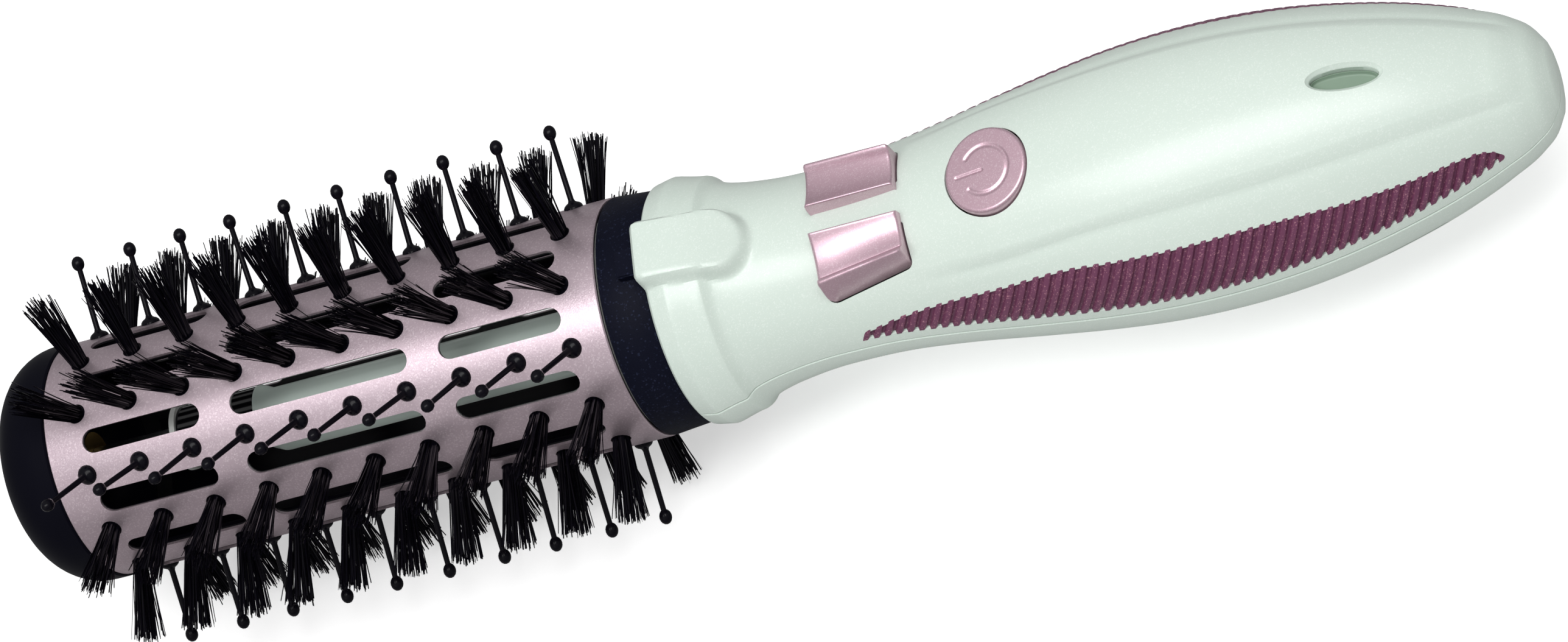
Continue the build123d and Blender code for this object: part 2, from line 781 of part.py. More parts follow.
def motor_mount():
    """Spoked plate across the handle's throat that the gearbox is screwed to."""
    start = gearbox_front - mount_thickness
    rim = skin_radius(gearbox_front, shell_wall) - 2 * seat_gap
    plate = tube(start, gearbox_front, rim, rim - mount_rim)
    hub = tube(start, gearbox_front, 4 + mount_hub_wall)
    for spoke in range(3):
        arm = block(start, gearbox_front, -spoke_thickness, spoke_thickness, 0, rim - mount_rim / 2)
        hub += Rot(180 + 120 * spoke, 0, 0) * arm
    return plate + hub - tube(start - 1, gearbox_front + 1, 4 + seat_gap / 2)


def heat_shroud():
    return tube(heater_start, heater_start + heater_length, shroud_radius, shroud_radius - shroud_wall)


def heater_frame():
    """Two crossed mica plates, wide at the ends to sit in the shroud, narrow under the coil."""
    end = heater_start + heater_length
    wide = shroud_radius - shroud_wall - seat_gap
    narrow = coil_radius * cos(pi / 8) - coil_wire / 2 - 2 * seat_gap
    half = mica_thickness / 2
    plate = block(heater_start, end, -half, half, -narrow, narrow)
    for x in (heater_start, end - mica_tab):
        plate += block(x, x + mica_tab, -half, half, -wide, wide)
    plate = plate & tube(heater_start, end, wide)
    return plate + Rot(90, 0, 0) * plate


def heater_coil():
    """Resistance wire wound eight-sided around the crossed plates."""
    run = heater_length - 2 * mica_tab - 3 * coil_wire
    start = heater_start + mica_tab + 1.5 * coil_wire
    steps = 8 * coil_turns
    points = []
    for step in range(steps + 1):
        angle = 2 * pi * (step + 0.5) / 8
        points.append((start + run * step / steps, coil_radius * sin(angle), coil_radius * cos(angle)))
    path = Polyline(*points)
    wire = Plane(origin=path @ 0, z_dir=path % 0) * Rectangle(coil_wire, coil_wire)
    return sweep(wire, path, transition=Transition.RIGHT)


def fan_housing():
    """Duct around the fan, with guide vanes that carry the motor's cup."""
    start = fan_start - 2
    end = start + duct_length
    cup = blower_motor_radius + seat_gap / 2
    vane_start = end - vane_length
    duct = tube(start, end, duct_radius, duct_radius - duct_wall)
    vanes = tube(vane_start, end, cup + duct_wall)
    for vane in range(vane_count):
        arm = block(vane_start, end, -vane_thickness / 2, vane_thickness / 2, 0, duct_radius - duct_wall / 2)
        vanes += Rot(360 / vane_count * vane, 0, 0) * arm
    return duct + (vanes - tube(vane_start - 1, end + 1, cup))


def blower_fan():
    """Axial fan: seven twisted blades on a hub."""
    middle = fan_start + fan_length / 2
    hub = tube(fan_start, fan_start + fan_length, fan_hub_radius)
    hub = fillet(hub.faces().sort_by(Axis.X)[0].edges(), 2)
    chord = fan_length * 1.05
    for blade in range(blade_count):
        sections = []
        for radius, pitch in ((fan_hub_radius - 1.5, blade_root_pitch), (fan_radius - 0.3, blade_tip_pitch)):
            place = Pos(middle, 0, radius) * Rot(0, 0, pitch)
            sections.append(place * Rectangle(chord if radius < fan_radius / 2 else chord * 1.3, blade_thickness))
        hub += Rot(360 / blade_count * blade, 0, 0) * loft(sections)
    hub = hub & tube(fan_start - 0.6, fan_start + fan_length + 0.6, fan_radius)
    return hub - tube(fan_start + 1, fan_start + fan_length + 3, blower_shaft_radius)


def blower_shaft():
    return tube(fan_start + 1, blower_motor_start + 5, blower_shaft_radius)


def blower_motor():
    """Motor can in the fan housing's cup."""
    end = blower_motor_start + blower_motor_length
    can = tube(blower_motor_start, end, blower_motor_radius)
    can = fillet(can.edges().filter_by(GeomType.CIRCLE), 1)
    body = can + tube(end, end + 1.5, 4)
    return body - tube(blower_motor_start - 2, blower_motor_start + 6, blower_shaft_radius + running_fit)


def gland_frame():
    """The cord gland's own axes, on the underside of the tail: its Z points out of the shell."""
    x = handle_front + gland_place
    return Pos(x, 0, -skin_radius(x)) * Rot(0, 180 + skin_slope(x), 0)


def cord_gland():
    """Round bush that a lead would pass through, with a flange inside the shell."""
    body = Pos(0, 0, -gland_length / 2) * Cylinder(gland_radius, gland_length)
    flange = Cylinder(gland_flange, gland_flange_thickness)
    body += Pos(0, 0, -gland_length - gland_flange_thickness / 2) * flange
    return gland_frame() * (body - Cylinder(gland_bore, 4 * gland_length))


# Places inside the handle
gearbox_front = handle_front + spigot_length + seat_gap + 1.5 + mount_thickness
board_top = board_bottom + board_thickness
tact_top_height = (board_top + tact_height) / cos(radians(rotate_lean))
rotate_floor = skin_radius(handle_front + rotate_place + rotate_length / 2, shell_wall) - 3.0
power_switch_top = board_top + power_switch_height
heater_start = handle_front + heater_place
rib_places_shroud = (heater_start + 4, heater_start + heater_length - 4)
fan_start = handle_front + fan_place
duct_radius = fan_radius + fan_gap + duct_wall
rib_places_duct = (fan_start + 1, fan_start + duct_length - 5)
blower_motor_start = fan_start + fan_length + 1.5
led_board_top = skin_radius(handle_front + lens_place) - lens_sink - lens_thickness - shell_wall - led_height
hollow = hollow_body()

nodes["barrel_sleeve"] = barrel_sleeve()
for number in range(row_count):
    kind = "pin_row" if number in pins else "bristle_row"
    nodes[f"{kind}_{number + 1}"] = bristle_row(number)
nodes["tip_cap"] = tip_cap()
nodes["drive_hub"] = drive_hub()
nodes["drive_shaft"] = drive_shaft()
nodes["barrel_ring"] = barrel_ring()
nodes["base_collar"] = base_collar()
nodes["spindle_tube"] = spindle_tube()
nodes["spindle_nose"] = spindle_nose()
nodes["front_bush"] = bush(spindle_front - nose_length, 1)
nodes["rear_bush"] = bush(handle_front + spigot_length, -1)
nodes["front_shell"] = front_shell()
nodes["rear_shell"] = rear_shell()
nodes["case_screws"] = case_screws()
nodes["left_grip"] = grip()
nodes["right_grip"] = mirror(nodes["left_grip"], Plane.XZ)
nodes["rotate_left_button"] = rotate_button(1)
nodes["rotate_right_button"] = rotate_button(-1)
nodes["power_button"] = power_button()
nodes["indicator_lens"] = indicator_lens()
nodes["indicator_led"] = indicator_led()
nodes["led_board"] = led_board()
nodes["control_board"] = control_board()
nodes["tact_switches"] = tact_switches()
nodes["power_switch"] = power_switch()
nodes["motor_mount"] = motor_mount()
nodes["gear_motor"] = gear_motor()
nodes["heat_shroud"] = heat_shroud()
nodes["heater_frame"] = heater_frame()
nodes["heater_coil"] = heater_coil()
nodes["fan_housing"] = fan_housing()
nodes["blower_fan"] = blower_fan()
nodes["blower_shaft"] = blower_shaft()
nodes["blower_motor"] = blower_motor()
nodes["cord_gland"] = cord_gland()

# Stand the brush on its bristles, centred over the origin.
boxes = [shape.bounding_box() for shape in nodes.values()]
low = [min(getattr(box.min, axis) for box in boxes) for axis in "XYZ"]
high = [max(getattr(box.max, axis) for box in boxes) for axis in "XYZ"]
to_rest = Pos(-(low[0] + high[0]) / 2, -(low[1] + high[1]) / 2, -low[2])

os.makedirs("parts", exist_ok=True)
for name, shape in nodes.items():
    export_step(to_rest * shape, f"parts/{name}.step")
print("moved by", to_rest.position)
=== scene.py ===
import bpy
import bmesh
import json
from math import acos, atan2, cos, degrees, hypot, pi, radians, sin, sqrt, tan
from mathutils import Matrix, Vector


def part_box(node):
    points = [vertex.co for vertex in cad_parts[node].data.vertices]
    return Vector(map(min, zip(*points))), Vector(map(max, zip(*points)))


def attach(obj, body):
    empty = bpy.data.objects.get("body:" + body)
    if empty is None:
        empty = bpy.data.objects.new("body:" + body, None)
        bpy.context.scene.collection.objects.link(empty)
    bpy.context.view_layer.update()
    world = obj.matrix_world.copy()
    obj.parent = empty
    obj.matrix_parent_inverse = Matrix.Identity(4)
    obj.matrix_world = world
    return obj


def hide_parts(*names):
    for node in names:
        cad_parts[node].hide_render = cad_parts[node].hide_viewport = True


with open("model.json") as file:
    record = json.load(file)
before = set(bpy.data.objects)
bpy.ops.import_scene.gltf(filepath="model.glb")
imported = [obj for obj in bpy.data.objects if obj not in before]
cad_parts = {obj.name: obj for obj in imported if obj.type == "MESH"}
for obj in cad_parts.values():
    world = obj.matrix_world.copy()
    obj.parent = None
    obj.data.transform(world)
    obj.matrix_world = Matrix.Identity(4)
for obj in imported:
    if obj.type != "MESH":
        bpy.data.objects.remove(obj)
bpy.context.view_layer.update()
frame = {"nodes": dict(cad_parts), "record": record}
nodes = frame["nodes"]
scene = bpy.context.scene

# Places in the scripts' own axes: millimetres along the barrel from the middle of its rows, and
# degrees round the axis from straight up towards -Y.
sleeveLow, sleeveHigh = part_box("barrel_sleeve")
rowMiddle = (sleeveLow[0] + sleeveHigh[0]) / 2
axisHeight = (sleeveLow[2] + sleeveHigh[2]) / 2


def at(x, y, z):
    return Vector((rowMiddle + x * 0.001, y * 0.001, axisHeight + z * 0.001))


def around(x, radius, angle):
    return at(x, -radius * sin(radians(angle)), radius * cos(radians(angle)))


def mm(node):
    low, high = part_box(node)
    return ((low[0] - rowMiddle) * 1000, (high[0] - rowMiddle) * 1000)


handleFront = mm("front_shell")[0]
handleEnd = mm("rear_shell")[1]


# helpers for meshes

def newPiece(name, mesh):
    piece = bpy.data.objects.new(name, mesh)
    scene.collection.objects.link(piece)
    return piece


def smoothBy(mesh, angle):
    mesh.shade_smooth()
    mesh.set_sharp_from_angle(angle=radians(angle))


def meshFrom(name, bm, smooth=35.0):
    # the finished mesh, with its faces turned outwards
    bmesh.ops.recalc_face_normals(bm, faces=bm.faces)
    mesh = bpy.data.meshes.new(name)
    bm.to_mesh(mesh)
    bm.free()
    if smooth:
        smoothBy(mesh, smooth)
    return mesh


def pieceFrom(name, bm, smooth=35.0):
    return newPiece(name, meshFrom(name, bm, smooth))


def finishMesh(piece):
    # a piece's modifiers become its plain mesh
    graph = bpy.context.evaluated_depsgraph_get()
    done = bpy.data.meshes.new_from_object(piece.evaluated_get(graph))
    piece.modifiers.clear()
    old = piece.data
    piece.data = done
    if old.users == 0:
        bpy.data.meshes.remove(old)
    return piece


def opened(piece):
    bm = bmesh.new()
    bm.from_mesh(piece.data)
    return bm


def ringSurface(bm, rows, closed=True):
    # rows of points, each row a ring or a strip, joined to the next row by quads
    grid = [[bm.verts.new(point) for point in row] for row in rows]
    width = len(grid[0])
    for low, high in zip(grid, grid[1:]):
        for j in range(width if closed else width - 1):
            k = (j + 1) % width
            bm.faces.new((low[j], high[j], high[k], low[k]))
    return grid


def stackInto(bm, rings):
    # a closed body through a stack of rings
    grid = ringSurface(bm, rings)
    bm.faces.new(grid[0])
    bm.faces.new(grid[-1][::-1])


def prismInto(bm, plan, place, low, high):
    # plan is a list of (u, v); place turns (u, v, w) into a point
    stackInto(bm, [[place(u, v, w) for u, v in plan] for w in (low, high)])


def lathe(name, outline, segments=160, smooth=35.0):
    # closed outline of (x, radius) turned about the barrel's axis
    bm = bmesh.new()
    rows = [[around(x, max(r, 0.0001), 360 * j / segments) for j in range(segments)] for x, r in outline]
    ringSurface(bm, rows + rows[:1])
    bmesh.ops.remove_doubles(bm, verts=bm.verts, dist=0.0000008)
    return pieceFrom(name, bm, smooth)


def mergeSlivers(piece, gap):
    # welds points that a cut or a bevel has left closer than the gap
    bm = opened(piece)
    bmesh.ops.remove_doubles(bm, verts=bm.verts, dist=gap)
    bmesh.ops.dissolve_degenerate(bm, edges=bm.edges, dist=gap / 2)
    bm.to_mesh(piece.data)
    bm.free()


def trimWith(piece, cutter, operation):
    trim = piece.modifiers.new("Trim", "BOOLEAN")
    trim.operation = operation
    trim.solver = "EXACT"
    trim.object = cutter


def cutWith(piece, bm):
    cutter = pieceFrom("cutter", bm, 0)
    trimWith(piece, cutter, "DIFFERENCE")
    finishMesh(piece)
    mergeSlivers(piece, 0.0000003)
    bpy.data.objects.remove(cutter)
    smoothBy(piece.data, 30)
    return piece


def circlePlan(radius, steps=64):
    return [(radius * cos(2 * pi * i / steps), radius * sin(2 * pi * i / steps)) for i in range(steps)]


def ellipsePlan(length, width, side=0.0, steps=72):
    return [(length / 2 * u, side + width / 2 * v) for u, v in circlePlan(1.0, steps)]


def roundedPlan(corners, radius, steps=5):
    # straight-sided outline with each corner rounded
    plan = []
    count = len(corners)
    for i in range(count):
        here = Vector(corners[i])
        before = (Vector(corners[i - 1]) - here).normalized()
        after = (Vector(corners[(i + 1) % count]) - here).normalized()
        half = before.angle(after) / 2
        reach = radius / tan(half)
        middle = here + (before + after).normalized() * (radius / sin(half))
        first = here + before * reach - middle
        last = here + after * reach - middle
        turn = first.angle_signed(last)
        for step in range(steps + 1):
            arm = first.copy()
            arm.rotate(Matrix.Rotation(-turn * step / steps, 2))
            plan.append(tuple(middle + arm))
    return plan


def grownPlan(plan, grow):
    # pushes an outline outwards, square to itself
    count = len(plan)
    area = sum(plan[i - 1][0] * plan[i][1] - plan[i][0] * plan[i - 1][1] for i in range(count))
    sign = 1 if area > 0 else -1
    grown = []
    for i in range(count):
        a, b = Vector(plan[i - 1]), Vector(plan[(i + 1) % count])
        along = (b - a).normalized()
        grown.append((plan[i][0] + along.y * grow * sign, plan[i][1] - along.x * grow * sign))
    return grown


def smoothLine(marks, x):
    # smooth curve through (place, value) marks
    if x <= marks[0][0]:
        return marks[0][1]
    if x >= marks[-1][0]:
        return marks[-1][1]
    i = max(k for k in range(len(marks) - 1) if marks[k][0] <= x)
    (x0, y0), (x1, y1) = marks[i], marks[i + 1]
    step = x1 - x0

    def rise(k):
        return (marks[k + 1][1] - marks[k][1]) / (marks[k + 1][0] - marks[k][0])

    def slope(k):
        if k in (0, len(marks) - 1):
            return rise(max(0, k - 1))
        left, right = marks[k][0] - marks[k - 1][0], marks[k + 1][0] - marks[k][0]
        return (rise(k - 1) * right + rise(k) * left) / (left + right)
    t = (x - x0) / step
    return ((2 * t ** 3 - 3 * t ** 2 + 1) * y0 + (t ** 3 - 2 * t ** 2 + t) * step * slope(i)
            + (-2 * t ** 3 + 3 * t ** 2) * y1 + (t ** 3 - t ** 2) * step * slope(i + 1))


# finishes

def tone(red, green, blue):
    # a colour as it looks on a screen, 0 to 255, made linear
    def linear(value):
        value /= 255
        return value / 12.92 if value <= 0.04045 else ((value + 0.055) / 1.055) ** 2.4
    return (linear(red), linear(green), linear(blue), 1.0)


def nodeGroup(name, inputs, outputs, treeType="ShaderNodeTree"):
    # a group with named sockets; treeType tells shader groups from geometry ones
    group = bpy.data.node_groups.new(name, treeType)
    for label, kind, value in inputs:
        socket = group.interface.new_socket(name=label, in_out="INPUT", socket_type=kind)
        if value is not None:
            socket.default_value = value
    for label, kind in outputs:
        group.interface.new_socket(name=label, in_out="OUTPUT", socket_type=kind)
    return group, group.nodes.new("NodeGroupInput"), group.nodes.new("NodeGroupOutput")


def feed(tree, node, values):
    # links or sets a node's inputs, each named by its label or its number
    for key, value in values.items():
        if isinstance(value, bpy.types.NodeSocket):
            tree.links.new(value, node.inputs[key])
        else:
            node.inputs[key].default_value = value
    return node


def mathNode(tree, operation, *values):
    node = tree.nodes.new("ShaderNodeMath")
    node.operation = operation
    return feed(tree, node, dict(enumerate(values))).outputs[0]


def makeFleck():
    # fine metallic flecks in paint or plastic: a mask of bright cells and a random tilt for each
    group, given, result = nodeGroup(
        "metalFleck",
        [("Vector", "NodeSocketVector", None), ("Scale", "NodeSocketFloat", 4000.0),
         ("Share", "NodeSocketFloat", 0.15)],
        [("Mask", "NodeSocketFloat"), ("Height", "NodeSocketFloat")])
    cells = feed(group, group.nodes.new("ShaderNodeTexVoronoi"),
                 {"Vector": given.outputs["Vector"], "Scale": given.outputs["Scale"]})
    split = feed(group, group.nodes.new("ShaderNodeSeparateColor"), {0: cells.outputs["Color"]})
    edge = mathNode(group, "SUBTRACT", 1.0, given.outputs["Share"])
    mask = mathNode(group, "GREATER_THAN", split.outputs[0], edge)
    feed(group, result, {"Mask": mathNode(group, "MULTIPLY", mask, split.outputs[1]),
                         "Height": split.outputs[2]})
    return group


def makeGrain():
    # moulded or blasted surface: fine height, and slow patches that vary the gloss and the colour
    group, given, result = nodeGroup(
        "fineGrain",
        [("Vector", "NodeSocketVector", None), ("Scale", "NodeSocketFloat", 2500.0),
         ("Patch Scale", "NodeSocketFloat", 60.0)],
        [("Height", "NodeSocketFloat"), ("Patch", "NodeSocketFloat")])
    for label, scale, detail in (("Height", "Scale", 3.0), ("Patch", "Patch Scale", 4.0)):
        noise = feed(group, group.nodes.new("ShaderNodeTexNoise"), {
            "Vector": given.outputs["Vector"], "Scale": given.outputs[scale],
            "Detail": detail, "Roughness": 0.6})
        feed(group, result, {label: noise.outputs["Fac"]})
    return group


fleckGroup = makeFleck()
grainGroup = makeGrain()


def placeGroup(tree, group, vector, values):
    node = tree.nodes.new("ShaderNodeGroup")
    node.node_tree = group
    return feed(tree, node, {"Vector": vector, **values})


def mixColour(tree, factor, first, second):
    node = tree.nodes.new("ShaderNodeMix")
    node.data_type = "RGBA"
    return feed(tree, node, {0: factor, 6: first, 7: second}).outputs[2]  # 6, 7 and 2 are its colour sockets


plainSockets = {"Metallic": ("metallic", 0.0), "IOR": ("ior", 1.5), "Coat Weight": ("coat", 0.0),
                "Coat Roughness": ("coatRoughness", 0.08), "Specular IOR Level": ("specular", 0.5)}


def insideMask(tree, place, radius):
    # 1 nearer to the barrel's axis than the radius
    axis = at(0, 0, 0)
    split = feed(tree, tree.nodes.new("ShaderNodeSeparateXYZ"), {0: place})
    squares = []
    for number in (1, 2):
        off = mathNode(tree, "SUBTRACT", split.outputs[number], axis[number])
        squares.append(mathNode(tree, "MULTIPLY", off, off))
    reach = mathNode(tree, "SQRT", mathNode(tree, "ADD", *squares))
    return mathNode(tree, "LESS_THAN", reach, radius * 0.001)


def finish(name, look):
    material = bpy.data.materials.new(name)
    material.use_nodes = True
    tree = material.node_tree
    shader = next(node for node in tree.nodes if node.type == "BSDF_PRINCIPLED")
    place = tree.nodes.new("ShaderNodeTexCoord").outputs["Object"]
    feed(tree, shader, {socket: look.get(key, usual) for socket, (key, usual) in plainSockets.items()})
    grain = placeGroup(tree, grainGroup, place, {"Scale": 1000 / look.get("grain", 0.4),
                                                 "Patch Scale": 1000 / look.get("patch", 14.0)})
    patch, height = grain.outputs["Patch"], grain.outputs["Height"]
    colour = mixColour(tree, patch, look["colour"], look["second"])
    if "fleck" in look:
        fleck = placeGroup(tree, fleckGroup, place, {"Scale": 1000 / look["fleck"],
                                                     "Share": look["fleckShare"]})
        mask = mathNode(tree, "MULTIPLY", fleck.outputs["Mask"], look["fleckStrength"])
        colour = mixColour(tree, mask, colour, look["fleckColour"])
        height = mathNode(tree, "ADD", height, mathNode(tree, "MULTIPLY", fleck.outputs["Height"], 0.5))
    if "paintedShadeRadius" in look:  # painted shade: the tube's inside is painted near-black and not metallic
        inside = insideMask(tree, place, look["paintedShadeRadius"])
        colour = mixColour(tree, inside, colour, look["paintedShadeColour"])
        outside = mathNode(tree, "SUBTRACT", 1.0, inside)
        feed(tree, shader, {"Metallic": mathNode(tree, "MULTIPLY", outside, look["metallic"])})
    spread = 0.06  # how far the slow patches move the roughness, either way
    varied = mathNode(tree, "MULTIPLY", patch, spread * 2)
    bump = feed(tree, tree.nodes.new("ShaderNodeBump"), {
        "Strength": look["bump"], "Distance": look.get("depth", 0.00005), "Height": height})
    feed(tree, shader, {"Base Color": colour, "Normal": bump.outputs["Normal"],
                        "Roughness": mathNode(tree, "ADD", varied, look["roughness"] - spread)})
    return material


looks = {
    "mint_shell": {"colour": tone(205, 217, 208), "second": tone(200, 213, 204), "roughness": 0.34,
                   "coat": 0.25, "coatRoughness": 0.2, "grain": 0.5, "patch": 30, "bump": 0.03,
                   "specular": 0.4, "fleck": 0.22, "fleckShare": 0.25, "fleckColour": tone(236, 242, 238),
                   "fleckStrength": 0.3},
    "plum_grip": {"colour": tone(112, 62, 90), "second": tone(98, 52, 78), "roughness": 0.4, "specular": 0.35,
                  "grain": 0.3, "patch": 6, "bump": 0.16, "fleck": 0.2, "fleckShare": 0.12,
                  "fleckColour": tone(205, 150, 160), "fleckStrength": 0.6},
    "rose_button": {"colour": tone(208, 178, 190), "second": tone(200, 167, 180), "roughness": 0.33,
                    "metallic": 0.75, "grain": 0.25, "patch": 7, "bump": 0.12, "fleck": 0.16,
                    "fleckShare": 0.25, "fleckColour": tone(240, 224, 230), "fleckStrength": 0.5},
    "rose_sleeve": {"colour": tone(192, 175, 183), "second": tone(182, 164, 173), "roughness": 0.38,
                    "metallic": 0.8, "grain": 0.35, "patch": 9, "bump": 0.32, "fleck": 0.25,
                    "fleckShare": 0.3, "fleckColour": tone(226, 212, 218), "fleckStrength": 0.5,
                    # painted shade: the sleeve's bore and hole walls are painted near-black within this radius
                    "paintedShadeRadius": 24.4, "paintedShadeColour": tone(10, 9, 14)},
    "black_cap": {"colour": tone(9, 9, 17), "second": tone(12, 12, 21), "roughness": 0.42, "grain": 0.4,
                  "bump": 0.08, "specular": 0.03},
    "black_collar": {"colour": tone(10, 12, 24), "second": tone(14, 16, 30), "roughness": 0.5, "grain": 0.28,
                     "bump": 0.5, "depth": 0.00008, "fleck": 0.3, "fleckShare": 0.1, "specular": 0.05,
                     "fleckColour": tone(48, 54, 78), "fleckStrength": 0.4},
    "black_nylon": {"colour": tone(8, 7, 13), "second": tone(12, 10, 18), "roughness": 0.2, "grain": 0.4,
                    "bump": 0.02, "specular": 0.1},
    "pale_spindle": {"colour": tone(226, 240, 232), "second": tone(220, 236, 227), "roughness": 0.3,
                     "coat": 0.2, "bump": 0.02},
    "white_acetal": {"colour": tone(226, 228, 224), "second": tone(218, 220, 216), "roughness": 0.35,
                     "bump": 0.03},
    "black_gloss": {"colour": tone(8, 8, 12), "second": tone(12, 12, 16), "roughness": 0.14, "coat": 0.3,
                    "bump": 0.01, "specular": 0.3},
    "steel": {"colour": tone(176, 177, 180), "second": tone(160, 162, 166), "roughness": 0.3, "metallic": 1.0,
              "bump": 0.08},
    "brass": {"colour": tone(196, 162, 92), "second": tone(182, 148, 80), "roughness": 0.3, "metallic": 1.0,
              "bump": 0.06},
    "smoke_lens": {"colour": tone(138, 158, 140), "second": tone(118, 138, 122), "roughness": 0.35,
                   "coat": 0.05, "bump": 0.06, "grain": 0.6, "specular": 0.2},
    "led_clear": {"colour": tone(210, 216, 230), "second": tone(196, 204, 222), "roughness": 0.1, "coat": 0.5,
                  "bump": 0.01},
    "green_board": {"colour": tone(38, 92, 54), "second": tone(30, 80, 46), "roughness": 0.35, "coat": 0.3,
                    "grain": 0.8, "patch": 3, "bump": 0.08},
    "black_switch": {"colour": tone(18, 18, 20), "second": tone(25, 25, 27), "roughness": 0.45, "bump": 0.1,
                     "specular": 0.2},
    "mica": {"colour": tone(186, 164, 120), "second": tone(164, 142, 100), "roughness": 0.3, "grain": 1.5,
             "patch": 5, "bump": 0.2, "coat": 0.2},
    "heater_wire": {"colour": tone(122, 114, 108), "second": tone(98, 90, 84), "roughness": 0.45,
                    "metallic": 0.9, "bump": 0.15},
    "motor_steel": {"colour": tone(190, 190, 194), "second": tone(172, 172, 176), "roughness": 0.32,
                    "metallic": 1.0, "bump": 0.08},
    "duct_plastic": {"colour": tone(46, 46, 48), "second": tone(56, 56, 58), "roughness": 0.5, "bump": 0.15},
}
finishes = {name: finish(name, look) for name, look in looks.items()}
for part in frame["record"]["subparts"]:
    node = nodes[part["node"]]
    for number in range(max(1, len(node.data.materials))):
        if number < len(node.data.materials):
            node.data.materials[number] = finishes[part["material_slot"]]
        else:
            node.data.materials.append(finishes[part["material_slot"]])
print("finishes made:", len(finishes))


def dress(piece, slot, body, *stands):
    piece.data.materials.clear()
    piece.data.materials.append(finishes[slot])
    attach(piece, body)
    if stands:
        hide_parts(*stands)
    return piece


# the barrel

barrel = {"radius": 25.0, "bore": 24.0, "halfLength": 62.35, "edge": 0.25, "rows": 12, "turn": 1.0,
          "holes": 10, "pitch": 12.15, "holeRadius": 2.1, "slotWidth": 5.0, "longSlot": 40.0,
          "shortSlot": 27.0, "slotGap": 7.0, "segments": 240}


def rowAngle(row):
    return barrel["turn"] + 360 / barrel["rows"] * row


def holePlaces():
    return [(i - (barrel["holes"] - 1) / 2) * barrel["pitch"] for i in range(barrel["holes"])]


def slotPlan(length, width, steps=10):
    plan = []
    for end in (1, -1):
        for step in range(steps + 1):
            turn = pi * (step / steps - 0.5) + (0 if end > 0 else pi)
            plan.append((end * (length - width) / 2 + width / 2 * cos(turn), width / 2 * sin(turn)))
    return plan


def radialPlace(x0, angle):
    # u along the axis, v round it, w out from it
    def place(u, v, w):
        side = radians(angle)
        return at(x0 + u, -w * sin(side) - v * cos(side), w * cos(side) - v * sin(side))
    return place


def makeSleeve():
    b = barrel
    half, edge = b["halfLength"], b["edge"]
    stations = [-half + edge + (2 * half - 2 * edge) * i / 18 for i in range(19)]
    outline = [(-half, b["radius"] - edge)] + [(x, b["radius"]) for x in stations]
    outline += [(half, b["radius"] - edge), (half, b["bore"])]
    outline += [(x, b["bore"]) for x in stations[::-1]] + [(-half, b["bore"])]
    sleeve = lathe("barrelSleeveSkin", outline, b["segments"])
    cutter = bmesh.new()
    low, high = b["bore"] - 4, b["radius"] + 3  # the cutter reaches well past both faces
    shift = (b["longSlot"] + b["shortSlot"]) / 2 + b["slotGap"]
    for row in range(b["rows"]):
        for x in holePlaces():
            prismInto(cutter, circlePlan(b["holeRadius"], 24), radialPlace(x, rowAngle(row)), low, high)
        for x, length in ((-shift, b["shortSlot"]), (0, b["longSlot"]), (shift, b["shortSlot"])):
            prismInto(cutter, slotPlan(length, b["slotWidth"]),
                      radialPlace(x, rowAngle(row) + 180 / b["rows"]), low, high)
    return cutWith(sleeve, cutter)


sleeve = dress(makeSleeve(), "rose_sleeve", "brush_barrel", "barrel_sleeve")
print("sleeve:", len(sleeve.data.polygons), "faces")

cap = {"radius": 25.4, "length": 15.2, "edge": 12.0, "wall": 2.0, "lip": 0.3}


def makeTipCap():
    c = cap
    back = -barrel["halfLength"] - 0.05  # a hair in front of the sleeve
    front = -barrel["halfLength"] - c["length"]

    def corner(wall):
        # the rounded edge, from the front face to the side
        edge = c["edge"] - wall
        return [(front + c["edge"] - edge * cos(radians(t)), c["radius"] - c["edge"] + edge * sin(radians(t)))
                for t in range(0, 91, 6)]
    outline = [(back, c["radius"] - c["wall"]), (back, c["radius"] - c["lip"]),
               (back - c["lip"], c["radius"])]
    outline += corner(0.0)[::-1] + [(front, 9.0), (front, 4.0), (front, 0.0), (front + c["wall"], 0.0)]
    return lathe("tipCapSkin", outline + corner(c["wall"]), 200)


dress(makeTipCap(), "black_cap", "brush_barrel", "tip_cap")


# bristles and pins, placed by Geometry Nodes

def vectorOf(tree, x, y, z):
    return feed(tree, tree.nodes.new("ShaderNodeCombineXYZ"), {0: x, 1: y, 2: z}).outputs[0]


# sizes in millimetres, leans as a slope; "comb" leans the first row towards the tip
bristle = {"reach": 17.6, "root": 24.2, "sunk": 0.8, "bow": 1.6, "perTuft": 96, "rootSpread": 1.72,
           "lean": 0.088, "mess": 0.024, "thickness": 0.19, "tuftRows": 8, "comb": 0.22, "seed": 7}
pin = {"rows": 4, "radius": 0.62, "ball": 1.35, "dome": 1.3, "domeRadius": 2.05, "mess": 0.012, "comb": 0.18}
rail = {"halfWidth": 2.7, "halfLength": 57.9, "low": 22.5, "high": 23.7, "plugRadius": 1.95, "plugLow": 23.5,
        "tuftPlug": 24.6, "pinPlug": 24.8}
treeInputs = [("Holes", "NodeSocketFloat", 10.0), ("Pitch", "NodeSocketFloat", 0.01215),
              ("Turn", "NodeSocketFloat", 1.0), ("Radius", "NodeSocketFloat", 0.025),
              ("Axis Place", "NodeSocketVector", (0, 0, 0)), ("Piece", "NodeSocketObject", None),
              ("Rows", "NodeSocketFloat", 8.0), ("Per Hole", "NodeSocketFloat", 1.0),
              ("Root Spread", "NodeSocketFloat", 0.0), ("Lean", "NodeSocketFloat", 0.0),
              ("Mess", "NodeSocketFloat", 0.0), ("Comb", "NodeSocketFloat", 0.0),
              ("Seed", "NodeSocketInt", 1), ("Material", "NodeSocketMaterial", None)]


